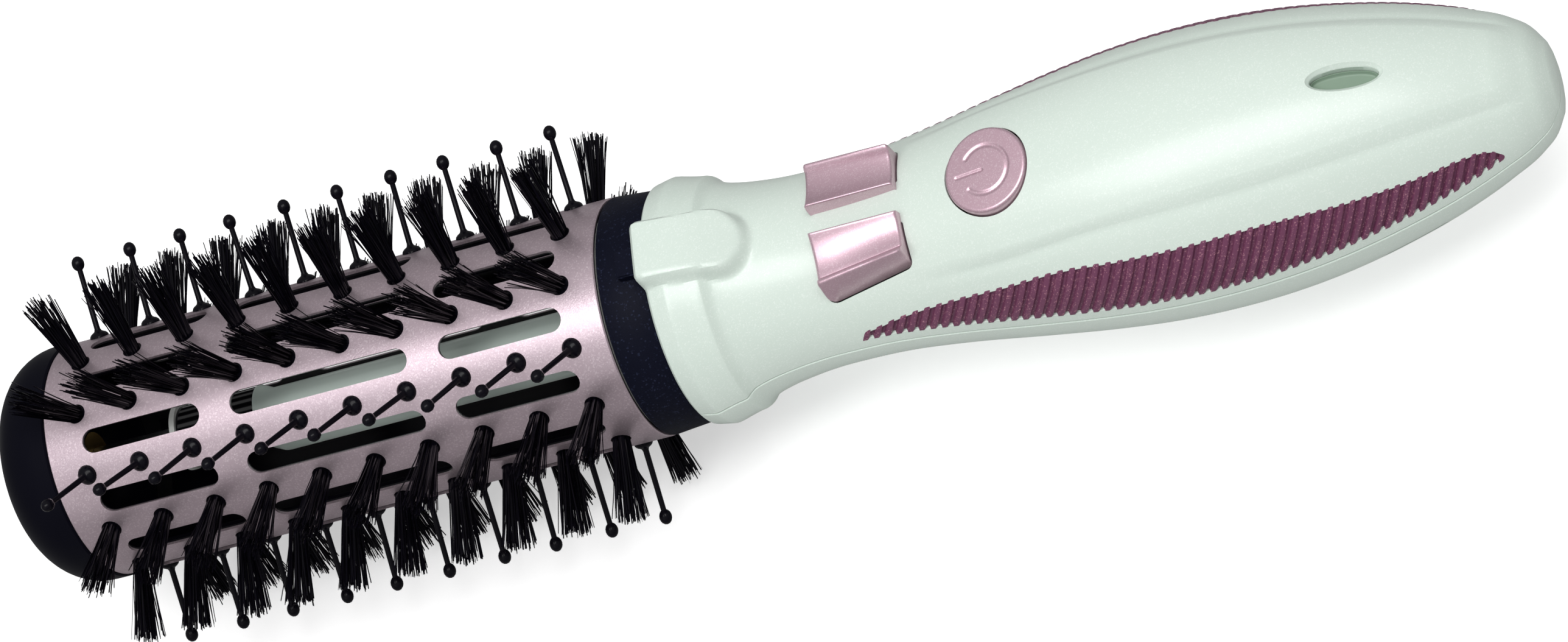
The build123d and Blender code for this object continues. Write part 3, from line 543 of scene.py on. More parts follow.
def bristleTree(name, pins):
    tree, given, result = nodeGroup(name, treeInputs, [("Geometry", "NodeSocketGeometry")],
                                    "GeometryNodeTree")
    tree.is_modifier = True
    value = given.outputs

    def add(a, b):
        return mathNode(tree, "ADD", a, b)

    def less(a, b):
        return mathNode(tree, "SUBTRACT", a, b)

    def times(a, b):
        return mathNode(tree, "MULTIPLY", a, b)

    def wholes(a, b):
        return mathNode(tree, "FLOOR", mathNode(tree, "DIVIDE", a, b))

    def random(low, high, key, offset):
        node = tree.nodes.new("FunctionNodeRandomValue")
        node.data_type = "FLOAT"
        seed = add(value["Seed"], offset) if offset else value["Seed"]
        return feed(tree, node, {2: low, 3: high, "ID": key, "Seed": seed}).outputs[1]

    def messy(offset, scale, key):
        return times(random(-1.0, 1.0, key, offset), times(value["Mess"], scale))

    # one point for each bristle, numbered along the rows: its hole, its row and its place along the barrel
    total = times(times(value["Rows"], value["Holes"]), value["Per Hole"])
    line = feed(tree, tree.nodes.new("GeometryNodeMeshLine"), {"Count": total})
    index = tree.nodes.new("GeometryNodeInputIndex").outputs[0]
    hole = wholes(index, value["Per Hole"])
    middle = mathNode(tree, "DIVIDE", less(value["Holes"], 1.0), 2.0)
    x = times(less(mathNode(tree, "MODULO", hole, value["Holes"]), middle), value["Pitch"])
    lineNumber = wholes(hole, value["Holes"])
    if pins:  # every third row, from the second
        row = add(times(lineNumber, 3.0), 1.0)
    else:  # the two rows between the pins: 0, 2, 3, 5, 6, 8, 9, 11
        row = add(times(wholes(lineNumber, 2.0), 3.0), times(mathNode(tree, "MODULO", lineNumber, 2.0), 2.0))
    angle = mathNode(tree, "RADIANS", add(times(row, 30.0), value["Turn"]))
    # its root inside the hole, and a lean of its own, with a smaller one that its whole tuft shares
    spin = random(0.0, 2 * pi, index, 0)
    share = mathNode(tree, "SQRT", random(0.0, 1.0, index, 1))
    across, sideways = mathNode(tree, "COSINE", spin), mathNode(tree, "SINE", spin)
    rootU, rootV = [times(times(share, value["Root Spread"]), way) for way in (across, sideways)]
    lean = times(share, value["Lean"])
    leanU = add(times(lean, across), add(messy(2, 1.0, index), messy(3, 2.0, hole)))
    leanV = add(times(lean, sideways), add(messy(4, 1.0, index), messy(5, 1.6, hole)))
    combed = times(mathNode(tree, "COMPARE", lineNumber, 0.0, 0.5), value["Comb"])
    leanU, leanV = less(leanU, combed), add(leanV, times(combed, 0.75 if pins else 0.3))
    sine, cosine = mathNode(tree, "SINE", angle), mathNode(tree, "COSINE", angle)

    def turned(u, v, w):
        # u along the axis, v round it and w out from it, turned about the axis to the row's angle
        y = less(times(-1.0, times(w, sine)), times(v, cosine))
        return vectorOf(tree, u, y, less(times(w, cosine), times(v, sine)))
    place = tree.nodes.new("ShaderNodeVectorMath")
    place.operation = "ADD"
    feed(tree, place, {0: turned(add(x, rootU), rootV, value["Radius"]), 1: value["Axis Place"]})
    spots = feed(tree, tree.nodes.new("GeometryNodeSetPosition"), {
        "Geometry": line.outputs[0], "Position": place.outputs[0]})
    aim = tree.nodes.new("FunctionNodeAlignRotationToVector")
    aim.axis = "Z"
    feed(tree, aim, {"Vector": turned(leanU, leanV, 1.0)})
    ownTurn = feed(tree, tree.nodes.new("FunctionNodeEulerToRotation"), {
        0: vectorOf(tree, 0.0, 0.0, random(0.0, 0.0 if pins else 6.283, index, 6))})
    twist = tree.nodes.new("FunctionNodeRotateRotation")
    twist.rotation_space = "LOCAL"
    feed(tree, twist, {0: aim.outputs[0], 1: ownTurn.outputs[0]})
    info = feed(tree, tree.nodes.new("GeometryNodeObjectInfo"), {
        "Object": value["Piece"], "As Instance": True})
    bend = 1.0 if pins else random(-0.3, 0.9, index, 8)
    size = 1.0 if pins else random(0.95, 1.0, index, 9)
    placed = feed(tree, tree.nodes.new("GeometryNodeInstanceOnPoints"), {
        "Points": spots.outputs[0], "Instance": info.outputs["Geometry"], "Rotation": twist.outputs[0],
        "Scale": vectorOf(tree, bend, 1.0, size)})
    real = feed(tree, tree.nodes.new("GeometryNodeRealizeInstances"), {0: placed.outputs[0]})
    paint = feed(tree, tree.nodes.new("GeometryNodeSetMaterial"), {
        "Geometry": real.outputs[0], "Material": value["Material"]})
    feed(tree, result, {0: paint.outputs[0]})
    return tree


def grown(name, tree, values):
    # a Geometry Nodes modifier on an empty mesh, turned into a plain mesh
    piece = newPiece(name, bpy.data.meshes.new(name))
    modifier = piece.modifiers.new("Grow", "NODES")
    modifier.node_group = tree
    for item in tree.interface.items_tree:
        if item.in_out == "INPUT" and item.name in values:
            modifier[item.identifier] = values[item.name]
    return finishMesh(piece)


def strandMesh(length, radius, bow, sides=3, steps=3):
    # one bristle on its own Z axis, bowed towards +X and thinner at its tip
    rings = []
    for t in [i / steps for i in range(steps + 1)]:
        ring = circlePlan(radius * (1 - 0.25 * t), sides)
        rings.append([Vector((bow * t * t + u, v, length * t)) for u, v in ring])
    bm = bmesh.new()
    stackInto(bm, rings)
    return meshFrom("strand", bm, 60)


def pinMesh(length, radius, ball, dome, domeRadius, sides=12):
    # a domed root, a slim shaft and a ball tip on its own Z axis
    outline = [(0.0, -dome), (domeRadius, -dome), (domeRadius, 0.0)]
    outline += [(domeRadius * cos(radians(t)), dome * sin(radians(t))) for t in (15, 30, 45, 60)]
    outline += [(radius * 1.3, dome * 0.98), (radius, dome * 1.35), (radius * 0.92, length - 2 * ball)]
    outline += [(ball * sin(radians(180 - t)), length - ball * 1.2 + ball * 1.2 * cos(radians(180 - t)))
                for t in (30, 50, 70, 90, 110, 130, 155)] + [(0.0, length)]
    bm = bmesh.new()
    ringSurface(bm, [[Vector((u, v, z)) for u, v in circlePlan(max(r, 1e-7), sides)] for r, z in outline])
    bmesh.ops.remove_doubles(bm, verts=bm.verts, dist=0.000001)
    return meshFrom("pinShape", bm, 50)


def withRails(piece, rows, plugHigh):
    # joins the rails under the sleeve, and a plug of nylon in each hole, to what stands on them
    r = rail
    bm = opened(piece)
    for row in rows:
        plan = [(u * r["halfLength"], v * r["halfWidth"]) for u, v in ((-1, -1), (1, -1), (1, 1), (-1, 1))]
        prismInto(bm, plan, radialPlace(0, rowAngle(row)), r["low"], r["high"])
        for x in holePlaces():
            prismInto(bm, circlePlan(r["plugRadius"], 12), radialPlace(x, rowAngle(row)),
                      r["plugLow"], plugHigh)
    bmesh.ops.recalc_face_normals(bm, faces=bm.faces)
    bm.to_mesh(piece.data)
    bm.free()
    smoothBy(piece.data, 50)
    return piece


def makeBristles():
    b, p = bristle, pin
    strandShape = newPiece("strandShape", strandMesh(
        (b["reach"] + b["sunk"]) * 0.001, b["thickness"] * 0.001, b["bow"] * 0.001))
    pinShape = newPiece("pinShape", pinMesh(*[size * 0.001 for size in (
        b["reach"], p["radius"], p["ball"], p["dome"], p["domeRadius"])]))
    shared = {"Holes": float(barrel["holes"]), "Pitch": barrel["pitch"] * 0.001, "Turn": barrel["turn"],
              "Seed": b["seed"], "Axis Place": at(0, 0, 0), "Material": finishes["black_nylon"]}
    tufts = grown("bristleTufts", bristleTree("tuftField", False), {
        **shared, "Radius": b["root"] * 0.001, "Piece": strandShape, "Rows": float(b["tuftRows"]),
        "Per Hole": float(b["perTuft"]), "Root Spread": b["rootSpread"] * 0.001, "Lean": b["lean"],
        "Mess": b["mess"], "Comb": b["comb"]})
    pins = grown("ballPins", bristleTree("pinField", True), {
        **shared, "Radius": barrel["radius"] * 0.001, "Piece": pinShape, "Rows": float(p["rows"]),
        "Per Hole": 1.0, "Root Spread": 0.0, "Lean": 0.0, "Mess": p["mess"], "Comb": p["comb"]})
    bpy.data.objects.remove(strandShape)
    bpy.data.objects.remove(pinShape)
    return tufts, pins


tufts, pins = makeBristles()
tuftLines = [row for row in range(barrel["rows"]) if row % 3 != 1]
pinLines = [row for row in range(barrel["rows"]) if row % 3 == 1]
dress(withRails(tufts, tuftLines, rail["tuftPlug"]), "black_nylon", "brush_barrel",
      *[f"bristle_row_{row + 1}" for row in tuftLines])
dress(withRails(pins, pinLines, rail["pinPlug"]), "black_nylon", "brush_barrel",
      *[f"pin_row_{row + 1}" for row in pinLines])
print("bristles:", len(tufts.data.polygons), "pins:", len(pins.data.polygons), "faces")


# the collar between barrel and handle

collar = {"front": 62.75, "rear": 72.35, "frontRadius": 24.9, "rearRadius": 24.1, "edge": 0.5,
          "rearEdge": 0.3, "bore": 18.5, "journal": 21.9, "journalFront": 58.15, "spigot": 21.6,
          "spigotEnd": 83.95, "lugWidth": 6.0, "lugLength": 5.0, "lugTop": 26.3, "lugLow": 22.5,
          "lugEdge": 0.3, "spokes": 4, "spokeLength": 9.0, "spokeWidth": 2.0, "spokeLow": 6.9}


def makeCollar():
    c = collar
    outline = [(c["journalFront"], c["bore"]), (c["journalFront"], c["journal"]), (c["front"], c["journal"]),
               (c["front"], c["frontRadius"] - c["edge"]), (c["front"] + 0.15, c["frontRadius"] - 0.15),
               (c["front"] + c["edge"], c["frontRadius"]), (c["rear"] - c["rearEdge"], c["rearRadius"]),
               (c["rear"], c["rearRadius"] - c["rearEdge"]), (c["rear"], c["spigot"]),
               (c["spigotEnd"], c["spigot"]), (c["spigotEnd"], c["bore"])]
    piece = lathe("baseCollarSkin", outline, 200)
    bm = opened(piece)
    wide = c["lugWidth"] / 2
    plan = roundedPlan([(-c["lugLength"], -wide), (0, -wide), (0, wide), (-c["lugLength"], wide)], 0.7)
    step = c["lugTop"] - c["lugEdge"]  # the lug's top has a small step for an edge
    for inset, low, high in ((0.0, c["lugLow"], step), (c["lugEdge"], step, c["lugTop"])):
        prismInto(bm, grownPlan(plan, -inset), radialPlace(c["rear"], 0), low, high)
    wide = c["spokeWidth"] / 2
    for arm in range(c["spokes"]):
        prismInto(bm, [(-c["spokeLength"], -wide), (0, -wide), (0, wide), (-c["spokeLength"], wide)],
                  radialPlace(c["spigotEnd"], 45 + 360 / c["spokes"] * arm), c["spokeLow"], c["bore"] + 0.1)
    bmesh.ops.recalc_face_normals(bm, faces=bm.faces)
    bm.to_mesh(piece.data)
    bm.free()
    smoothBy(piece.data, 40)
    return piece


dress(makeCollar(), "black_collar", "handle", "base_collar")


spindle = {"front": -23.5, "rear": 83.95, "radius": 6.75, "bore": 5.0, "edge": 0.2,
           "bow": (-1.36, -0.5), "bowStart": 3.0, "bowEnd": 74.0, "bowFade": 12.0}


def makeSpindle():
    # the pale tube inside the barrel, bowed a little off the axis between its ends
    p = spindle
    front, rear, thin = p["front"], p["rear"], p["radius"] - p["edge"]
    stations = [front + 0.4 * i for i in range(8)] + [-20 + 4 * i for i in range(21)]
    stations += [61.5 + 1.5 * i for i in range(10)] + [rear - p["edge"]]
    outline = [(front, thin)] + [(x, p["radius"]) for x in stations[1:]] + [(rear, thin), (rear, p["bore"])]
    outline += [(x, p["bore"]) for x in stations[:0:-1]] + [(front, p["bore"])]
    piece = lathe("spindleSkin", outline, 64)
    for vertex in piece.data.vertices:
        x = (vertex.co.x - rowMiddle) * 1000
        share = (min(1.0, max(0.0, (x - front) / p["bowStart"]))
                 * min(1.0, max(0.0, (p["bowEnd"] - x) / p["bowFade"])))
        vertex.co.y += p["bow"][0] * 0.001 * share
        vertex.co.z += p["bow"][1] * 0.001 * share
    return piece


dress(makeSpindle(), "pale_spindle", "handle", "spindle_tube")


# the handle's shells

shell = {"wall": 2.2, "seam": 1.5, "seamGap": 0.06, "seamRound": 0.16, "seamLedge": 0.14, "panelRise": 0.62,
         "gutter": 0.26, "gutterWidth": 3.5, "leastBore": 1.9, "domeStart": 180.1,
         "steps": [(3.3, 0.5), (4.9, 0.35), (10.5, 0.5), (11.0, 0.12), (24, 0.5), (168, 1.6), (180.1, 0.7)],
         "outline": [(0, 24.4), (0.35, 24.85), (1.4, 25.15), (3.7, 25.6), (4.1, 25.66), (4.5, 25.6),
                     (6.5, 25.1), (9.0, 24.5), (10.75, 24.13), (10.85, 24.08), (11.6, 23.35), (12.6, 22.5),
                     (13.8, 22.0), (16, 21.4), (22, 20.4), (28.4, 19.85), (34, 19.8), (43, 20.1),
                     (55, 21.45), (73.5, 24.4), (86, 26.25), (97.5, 27.5), (109.8, 28), (121.8, 27.6),
                     (134, 26.2), (146.3, 23.7), (158.4, 20.3), (168, 16.6), (174.6, 13.3), (178.2, 10.3),
                     (180.1, 7.3)],
         "dome": [(180.55, 5.8), (180.84, 4.1), (180.95, 2.9), (181.0, 1.9)],
         "innerLine": [(50, 39), (72, 37.2), (87.5, 34.2), (103.5, 32.1), (129.5, 30.7), (157, 26.7),
                       (181, 22)],
         "outerLine": [(50, 46), (72, 43.4), (87.5, 39.4), (114.5, 37.8), (142.5, 36.5), (170, 35.8),
                       (181, 36.5)]}
hood = {"front": -1.0, "rear": 21.8, "side": 1.0, "half": 6.7, "corner": 2.2, "fillet": 0.8, "round": 1.9,
        "top": [(-1, 28.4), (5, 27.7), (10.6, 26.5), (16, 24.5), (22.6, 21.6)]}


def skinRadius(x):
    return smoothLine(shell["outline"], x - handleFront)


def panelRise(x, angle):
    # the middle of the front shell stands a little proud between two creases that run down the handle,
    # and a shallow gutter lies along the outer one
    place = x - handleFront
    fade = min(1.0, max(0.0, (place - 50) / 20)) * min(1.0, max(0.0, (176 - place) / 5))
    inner, outer = smoothLine(shell["innerLine"], place), smoothLine(shell["outerLine"], place)
    rise, gutter, width = shell["panelRise"], shell["gutter"], shell["gutterWidth"]
    if abs(angle) <= inner:
        height = rise
    elif abs(angle) <= outer:
        height = rise - (rise + gutter) * (abs(angle) - inner) / (outer - inner)
    else:
        height = -gutter * max(0.0, 1 - (abs(angle) - outer) / width)
    return height * fade


def hoodShare(place, side):
    # 0 outside the hood over the collar's lug, 1 well inside it: square in front, half round behind
    h = hood
    middle = h["rear"] - h["half"]
    if place > middle:
        inside = h["half"] - hypot(place - middle, side - h["side"])
    else:
        deep = place - h["front"]
        wide = h["half"] - abs(side - h["side"])
        inside = min(deep, wide)
        if deep < h["corner"] and wide < h["corner"]:
            inside = h["corner"] - hypot(h["corner"] - deep, h["corner"] - wide)
    share = min(1.0, max(0.0, (inside + h["fillet"]) / (h["fillet"] + h["round"])))
    return sin(share * pi / 2) ** 2 if share < 0.5 else 1 - 2 * (1 - share) ** 2


def hoodRise(x, angle, radius):
    place = x - handleFront
    if abs(angle) > 25 or place > hood["rear"] + 2:
        return 0.0, 0.0
    side = -radius * sin(radians(angle))
    share = hoodShare(max(place, 0.0), side)
    top = smoothLine(hood["top"], place) / cos(radians(angle))
    forward = hood["front"] * share * max(0.0, 1 - place / 1.6)
    return max(0.0, top - radius) * share, forward


def stationsAlong():
    # places along the handle with the skin's radius, closer together where the shape is finer
    places = [0.0]
    while places[-1] < shell["domeStart"]:
        x = places[-1]
        places.append(x + next(step for limit, step in shell["steps"] if x < limit))
    along = [(x, smoothLine(shell["outline"], x)) for x in places[:-1]]
    return along + [shell["outline"][-1]] + shell["dome"]


def columnAngles(x, radius, upper):
    # the angles round the handle at which a shell's surface is laid, from seam to seam
    place = min(x - handleFront, 178.0)
    if not upper:
        edge = degrees(acos(min(1.0, (shell["seam"] - shell["seamGap"]) / radius)))
        inside = [edge + 0.5 + (359 - 2 * edge) * i / 76 for i in range(77)]
        return [edge] + inside + [360 - edge]
    edge = degrees(acos(min(1.0, (shell["seam"] + shell["seamGap"]) / radius)))
    squeeze = min(1.0, (edge - 0.5) / 88)
    inner, outer = [smoothLine(shell[line], place) * squeeze for line in ("innerLine", "outerLine")]
    near = 0.3 * squeeze
    half = [(inner - near) * i / 30 for i in range(31)] + [inner + near]
    half += [inner + (outer - inner) / 2, outer - near]
    half += [outer + near + (edge - 0.5 - outer - near) * i / 22 for i in range(23)] + [edge]
    return [-a for a in half[:0:-1]] + half


def skinRow(x, radius, angles, upper):
    # one outer row of a shell, round its skin
    place = x - handleFront
    row = []
    for number, angle in enumerate(angles):
        reach, shift = radius, 0.0
        if upper and place <= shell["domeStart"]:
            rise, shift = hoodRise(x, angle, radius)
            reach += panelRise(x, angle) + rise
        if not upper and 1 < place < 178:  # the rear shell's edge stands a hair proud at the seam
            fromSeam = min(angle - angles[0], angles[-1] - angle)
            reach += shell["seamLedge"] * max(0.0, 1 - fromSeam / 14)
        if number in (0, len(angles) - 1):
            reach -= shell["seamRound"]
        row.append(around(x + shift, reach, angle))
    return row


def boreRow(deep, bore, radius, angles, upper):
    # the inner row behind it, its ends level with the seam
    level = shell["seam"] + (shell["seamGap"] if upper else -shell["seamGap"])
    edge = degrees(acos(min(1.0, level / bore)))
    own = max(0.1, degrees(acos(min(1.0, level / radius))))
    if upper:
        return [around(deep, bore, angle * edge / own) for angle in angles[::-1]]
    return [around(deep, bore, 180 + (angle - 180) * (180 - edge) / (180 - own)) for angle in angles[::-1]]


def makeShell(name, upper):
    rows, last = [], None
    for place, radius in stationsAlong():
        x = handleFront + place
        angles = columnAngles(x, radius, upper)
        bore = max(radius - shell["wall"], shell["leastBore"])
        if x < collar["spigotEnd"] + 0.2:
            bore = max(bore, collar["spigot"] + 0.05)
        deep = min(x, handleEnd - shell["wall"])
        if (deep, bore) != last:  # the wall's end is laid once
            inner = boreRow(deep, bore, radius, angles, upper)
        last = (deep, bore)
        rows.append(skinRow(x, radius, angles, upper) + inner)
    bm = bmesh.new()
    grid = ringSurface(bm, rows)
    half = len(rows[0]) // 2
    mouth, tail = grid[0], grid[-1]
    for j in range(half - 1):
        bm.faces.new((mouth[j], mouth[j + 1], mouth[2 * half - 2 - j], mouth[2 * half - 1 - j]))
    for face in (tail[:half], tail[half:], (tail[0], tail[half - 1], tail[half], tail[-1])):
        bm.faces.new(face)
    bmesh.ops.remove_doubles(bm, verts=bm.verts, dist=0.0000001)
    return pieceFrom(name, bm, 30)


rotate = {"front": 34.7, "length": 18.6, "inner": 2.85, "base": 2.65, "width": 15.0, "tailWidth": 11.6,
          "lean": 26.0, "corner": 1.5, "gap": 0.28, "land": 2.25, "edgeTop": 24.2, "dish": 0.75,
          "face": (9.3, 6.9), "climb": (0.85, 1.85), "lip": (1.15, 1.75), "floor": 15.0, "round": 0.8,
          "bevel": 0.5, "skin": 20.3,
          "lipLine": [(0.12, 0.02), (0.25, 0.26), (0.32, 0.62), (0.5, 0.86), (0.8, 1.0), (1.1, 0.98), (1.5, 0.72)]}
power = {"place": 72.8, "radius": 8.8, "gap": 0.3, "lean": 9.0, "proud": 0.9, "crown": 0.25, "edge": 0.7,
         "rings": 62, "columns": 240}
lens = {"place": 144.6, "length": 13.3, "width": 4.2, "side": -0.3, "lean": -13.0, "sink": 2.5, "rim": 0.9,
        "well": [(0.0, -9.0), (0.0, -0.35), (0.16, -0.1), (0.5, 0.12), (0.9, 0.6), (0.9, 3.0)],
        "window": [(0.25, -4.2), (0.25, -1.1), (0.06, -0.9), (-0.1, -0.1), (-0.2, 0.0), (-0.3, 0.0),
                   (-0.42, -0.15), (-0.5, -0.6), (-0.7, -0.75), (-1.0, -0.78)]}
grip = {"low": 2.3, "start": 36.8, "end": 169.2, "ribs": 56, "slant": 30.0, "crest": 0.13, "valley": -0.62,
        "under": 1.2, "margin": 0.75, "perRib": 18, "rowsUp": 20,
        "top": [(0.0, 0.2), (0.5, 1.6), (1.5, 2.7), (5.2, 4.0), (12.8, 6.1), (20.3, 7.6), (33, 9.9),
                (45.5, 12.2), (58, 12.9), (72, 13.3), (84, 13.2), (93, 12.3), (103.5, 10.6), (116.7, 8.3),
                (124.8, 6.7), (128.8, 5.2), (131.1, 3.1), (132.1, 1.2), (132.4, 0.2)]}


def rotateInner():
    lean = radians(rotate["lean"])
    return rotate["edgeTop"] * sin(lean) - rotate["inner"] * cos(lean)


def rotatePlan(grow=0.0):
    inner = rotateInner()
    x0 = handleFront + rotate["front"]
    x1 = x0 + rotate["length"]
    plan = roundedPlan([(x0, inner + 0.6), (x1, inner + 0.6), (x1, inner - rotate["tailWidth"]),
                        (x0, inner - rotate["width"])], rotate["corner"])
    return grownPlan(plan, grow) if grow else plan


def rotatePlace(side):
    # u along the axis, v square to the press towards the middle of the handle, w out along the press
    lean = radians(rotate["lean"])

    def place(u, v, w):
        y = v * cos(lean) - w * sin(lean)
        z = v * sin(lean) + w * cos(lean)
        return at(u, y * side, z)
    return place


def facePlace(lean, x):
    # local axes on the handle's top: u and v in the face, w out of it
    tilt, height = radians(lean), skinRadius(x)
    return lambda u, v, w: at(x + u * cos(tilt) - w * sin(tilt), v, height + u * sin(tilt) + w * cos(tilt))


powerPlace = facePlace(power["lean"], handleFront + power["place"])
lensPlace = facePlace(lens["lean"], handleFront + lens["place"])
gland = {"place": 176.5, "radius": 12.17, "slope": -46.35, "hole": 4.55,
         "outline": [(3.5, -5.4), (3.5, -0.05), (3.7, 0.15), (4.6, 0.15), (4.85, -0.1), (4.85, -1.4),
                     (4.5, -1.5), (4.5, -5.4)]}


def glandPlace(u, v, w):
    # on the underside of the tail, w out of the shell
    tilt = radians(gland["slope"])
    return at(handleFront + gland["place"] + u * cos(tilt) - w * sin(tilt), v,
              -gland["radius"] - u * sin(tilt) - w * cos(tilt))


def gripTop(x):
    # height of the grip's upper edge above its lower one, at a place along the handle
    return smoothLine(grip["top"], x - handleFront - grip["start"])


def gripPlan(inset=0.0):
    start, end = handleFront + grip["start"] + inset, handleFront + grip["end"] - inset
    low = shell["seam"] + grip["low"]
    count = 150
    spots = [start + (end - start) * (0.5 - 0.5 * cos(pi * i / count)) for i in range(count + 1)]
    upper = [(x, low + max(inset + 0.25, gripTop(x) - inset)) for x in spots]
    return [(start + 0.3, low + inset)] + upper + [(end - 0.3, low + inset)]


def sidePlace(side):
    # u along the axis, v up, w outwards to one side
    return lambda u, v, w: at(u, -w * side, v)


def lensRings(levels, lift=0.0):
    # ovals round the window, each a margin and a height
    return [[lensPlace(u, v, w + lift) for u, v in ellipsePlan(
        lens["length"] + 2 * grow, lens["width"] + 2 * grow, lens["side"])] for grow, w in levels]


def rotateOpening(bm, side):
    # the opening that a rotate button stands in: its plan, and an upright wall towards the middle
    place = rotatePlace(side)
    lean = radians(rotate["lean"])
    rings = []
    for w in (12.0, 32.0):
        reach = (w * sin(lean) - rotate["land"]) / cos(lean)
        rings.append([place(u, min(v, reach), w) for u, v in rotatePlan(rotate["gap"])])
    stackInto(bm, rings)


def makeFrontShell():
    cutter = bmesh.new()
    for side in (1, -1):
        rotateOpening(cutter, side)
        prismInto(cutter, gripPlan(grip["margin"]), sidePlace(side), 8, 40)
    prismInto(cutter, circlePlan(power["radius"] + power["gap"]), powerPlace, -8, 8)
    stackInto(cutter, lensRings(lens["well"]))
    return cutWith(makeShell("frontShellSkin", True), cutter)


frontShell = dress(makeFrontShell(), "mint_shell", "handle", "front_shell")

rear = {"screws": (59.4, 160.0), "screwRadius": 2.9, "inlet": 147.0, "inletLength": 14.0, "inletWidth": 2.0,
        "inletAngles": (112, 122, 132, 142, 152, 208, 218, 228, 238, 248)}


def makeRearShell():
    cutter = bmesh.new()
    for place in rear["screws"]:
        x = handleFront + place
        prismInto(cutter, circlePlan(rear["screwRadius"], 32), radialPlace(x, 180), skinRadius(x) - 4, 40)
    x = handleFront + rear["inlet"]
    tilt = atan2(skinRadius(x + 0.5) - skinRadius(x - 0.5), 1)
    for angle in rear["inletAngles"]:
        radial = radialPlace(x, angle)

        def place(u, v, w):
            return radial(u * cos(tilt) - w * sin(tilt), v, skinRadius(x) + u * sin(tilt) + w * cos(tilt))
        prismInto(cutter, slotPlan(rear["inletLength"], rear["inletWidth"], 8), place, -5, 5)
    prismInto(cutter, circlePlan(gland["hole"], 48), glandPlace, -7, 8)
    return cutWith(makeShell("rearShellSkin", False), cutter)


dress(makeRearShell(), "mint_shell", "handle", "rear_shell")
print("shells:", len(frontShell.data.polygons), "faces in the front one")


def makeGland():
    # the bored cord gland in the tail's underside, with a low flange
    bm = bmesh.new()
    rows = [[glandPlace(u, v, w) for u, v in circlePlan(r, 48)] for r, w in gland["outline"]]
    ringSurface(bm, rows + rows[:1])
    bmesh.ops.remove_doubles(bm, verts=bm.verts, dist=0.000001)
    return pieceFrom("cordGlandRing", bm, 40)


dress(makeGland(), "black_switch", "handle", "cord_gland")


# the buttons

def between(pair, share):
    return pair[0] + (pair[1] - pair[0]) * share


def rotateSection(share, drop):
    # closed outline across a rotate button, from its front (0) to its rear (1): an upright inner side,
    # a dished face that climbs to a groove, a rounded lip, and a steep outer side
    r = rotate
    lean, inner, floor = radians(r["lean"]), rotateInner(), r["floor"]
    face, climb, lip = [between(r[size], share) for size in ("face", "climb", "lip")]
    outer = inner - between((r["width"], r["tailWidth"]), share)
    edge = r["edgeTop"] * cos(lean) + r["inner"] * sin(lean)
    foot = Vector(((floor * sin(lean) - r["base"]) / cos(lean), floor))

    def onFace(t):
        return Vector((inner - face * t, edge + climb * t - 4 * r["dish"] * t * (1 - t)))
    corner, turn = onFace(0), r["round"]
    down = corner + (foot - corner).normalized() * turn
    along = corner + (onFace(0.1) - corner).normalized() * turn
    section = [down * (1 - t) ** 2 + corner * (2 * t * (1 - t)) + along * t ** 2
               for t in [k / 6 for k in range(7)]]
    start = turn / face
    section += [onFace(start + (1 - start) * k / 12) for k in range(1, 13)]
    section += [Vector((inner - face - step, edge + climb + lip * rise)) for step, rise in r["lipLine"]]
    crest = section[-1]
    base = sqrt(r["skin"] ** 2 - outer ** 2) - 0.6  # where the outer side meets the shell
    spill = base + (base - crest.y) / (crest.x - outer) * 1.5
    below = [Vector((outer, base)), Vector((outer - 1.5, spill)), Vector((outer - 1.5, floor))]
    return [foot] + [point - Vector((0, drop)) for point in section] + below


def makeRotateButton(name, side):
    # lofted along its length with rounded ends, then trimmed to its plan
    length, turn = rotate["length"], rotate["round"]
    x0 = handleFront + rotate["front"]
    ends = [turn * (1 - cos(pi / 2 * k / 6)) for k in range(7)]
    places = [-1.0] + ends + [length * k / 4 for k in (1, 2, 3)]
    places += [length - u for u in ends[::-1]] + [length + 1]
    rows = []
    for u in places:
        short = turn - min(turn, max(0.0, min(u, length - u)))
        drop = turn - sqrt(turn ** 2 - short ** 2)
        rows.append([Vector((x0 + u, *point)) for point in rotateSection(u / length, drop)])
    bm = bmesh.new()
    stackInto(bm, rows)
    piece = pieceFrom(name, bm, 0)
    trimmer = bmesh.new()
    prismInto(trimmer, rotatePlan(), lambda u, v, w: Vector((u, v, w)), rotate["floor"] + 0.5, 30)
    cutter = pieceFrom("planTrimmer", trimmer, 0)
    trimWith(piece, cutter, "INTERSECT")
    soften = piece.modifiers.new("Soften", "BEVEL")
    soften.width = rotate["bevel"]
    soften.segments = 4
    soften.limit_method = "ANGLE"
    soften.angle_limit = radians(42)
    finishMesh(piece)
    mergeSlivers(piece, 0.004)
    bpy.data.objects.remove(cutter)
    place = rotatePlace(side)
    for vertex in piece.data.vertices:
        vertex.co = place(*vertex.co)
    if side < 0:
        piece.data.flip_normals()
    smoothBy(piece.data, 40)
    return piece


dress(makeRotateButton("rotateLeftCap", 1), "rose_button", "rotate_left_key", "rotate_left_button")
dress(makeRotateButton("rotateRightCap", -1), "rose_button", "rotate_right_key", "rotate_right_button")

mark = {"radius": 4.95, "open": 41.0, "stroke": 0.34, "depth": 0.24, "barFrom": -6.2, "barTo": -0.6}


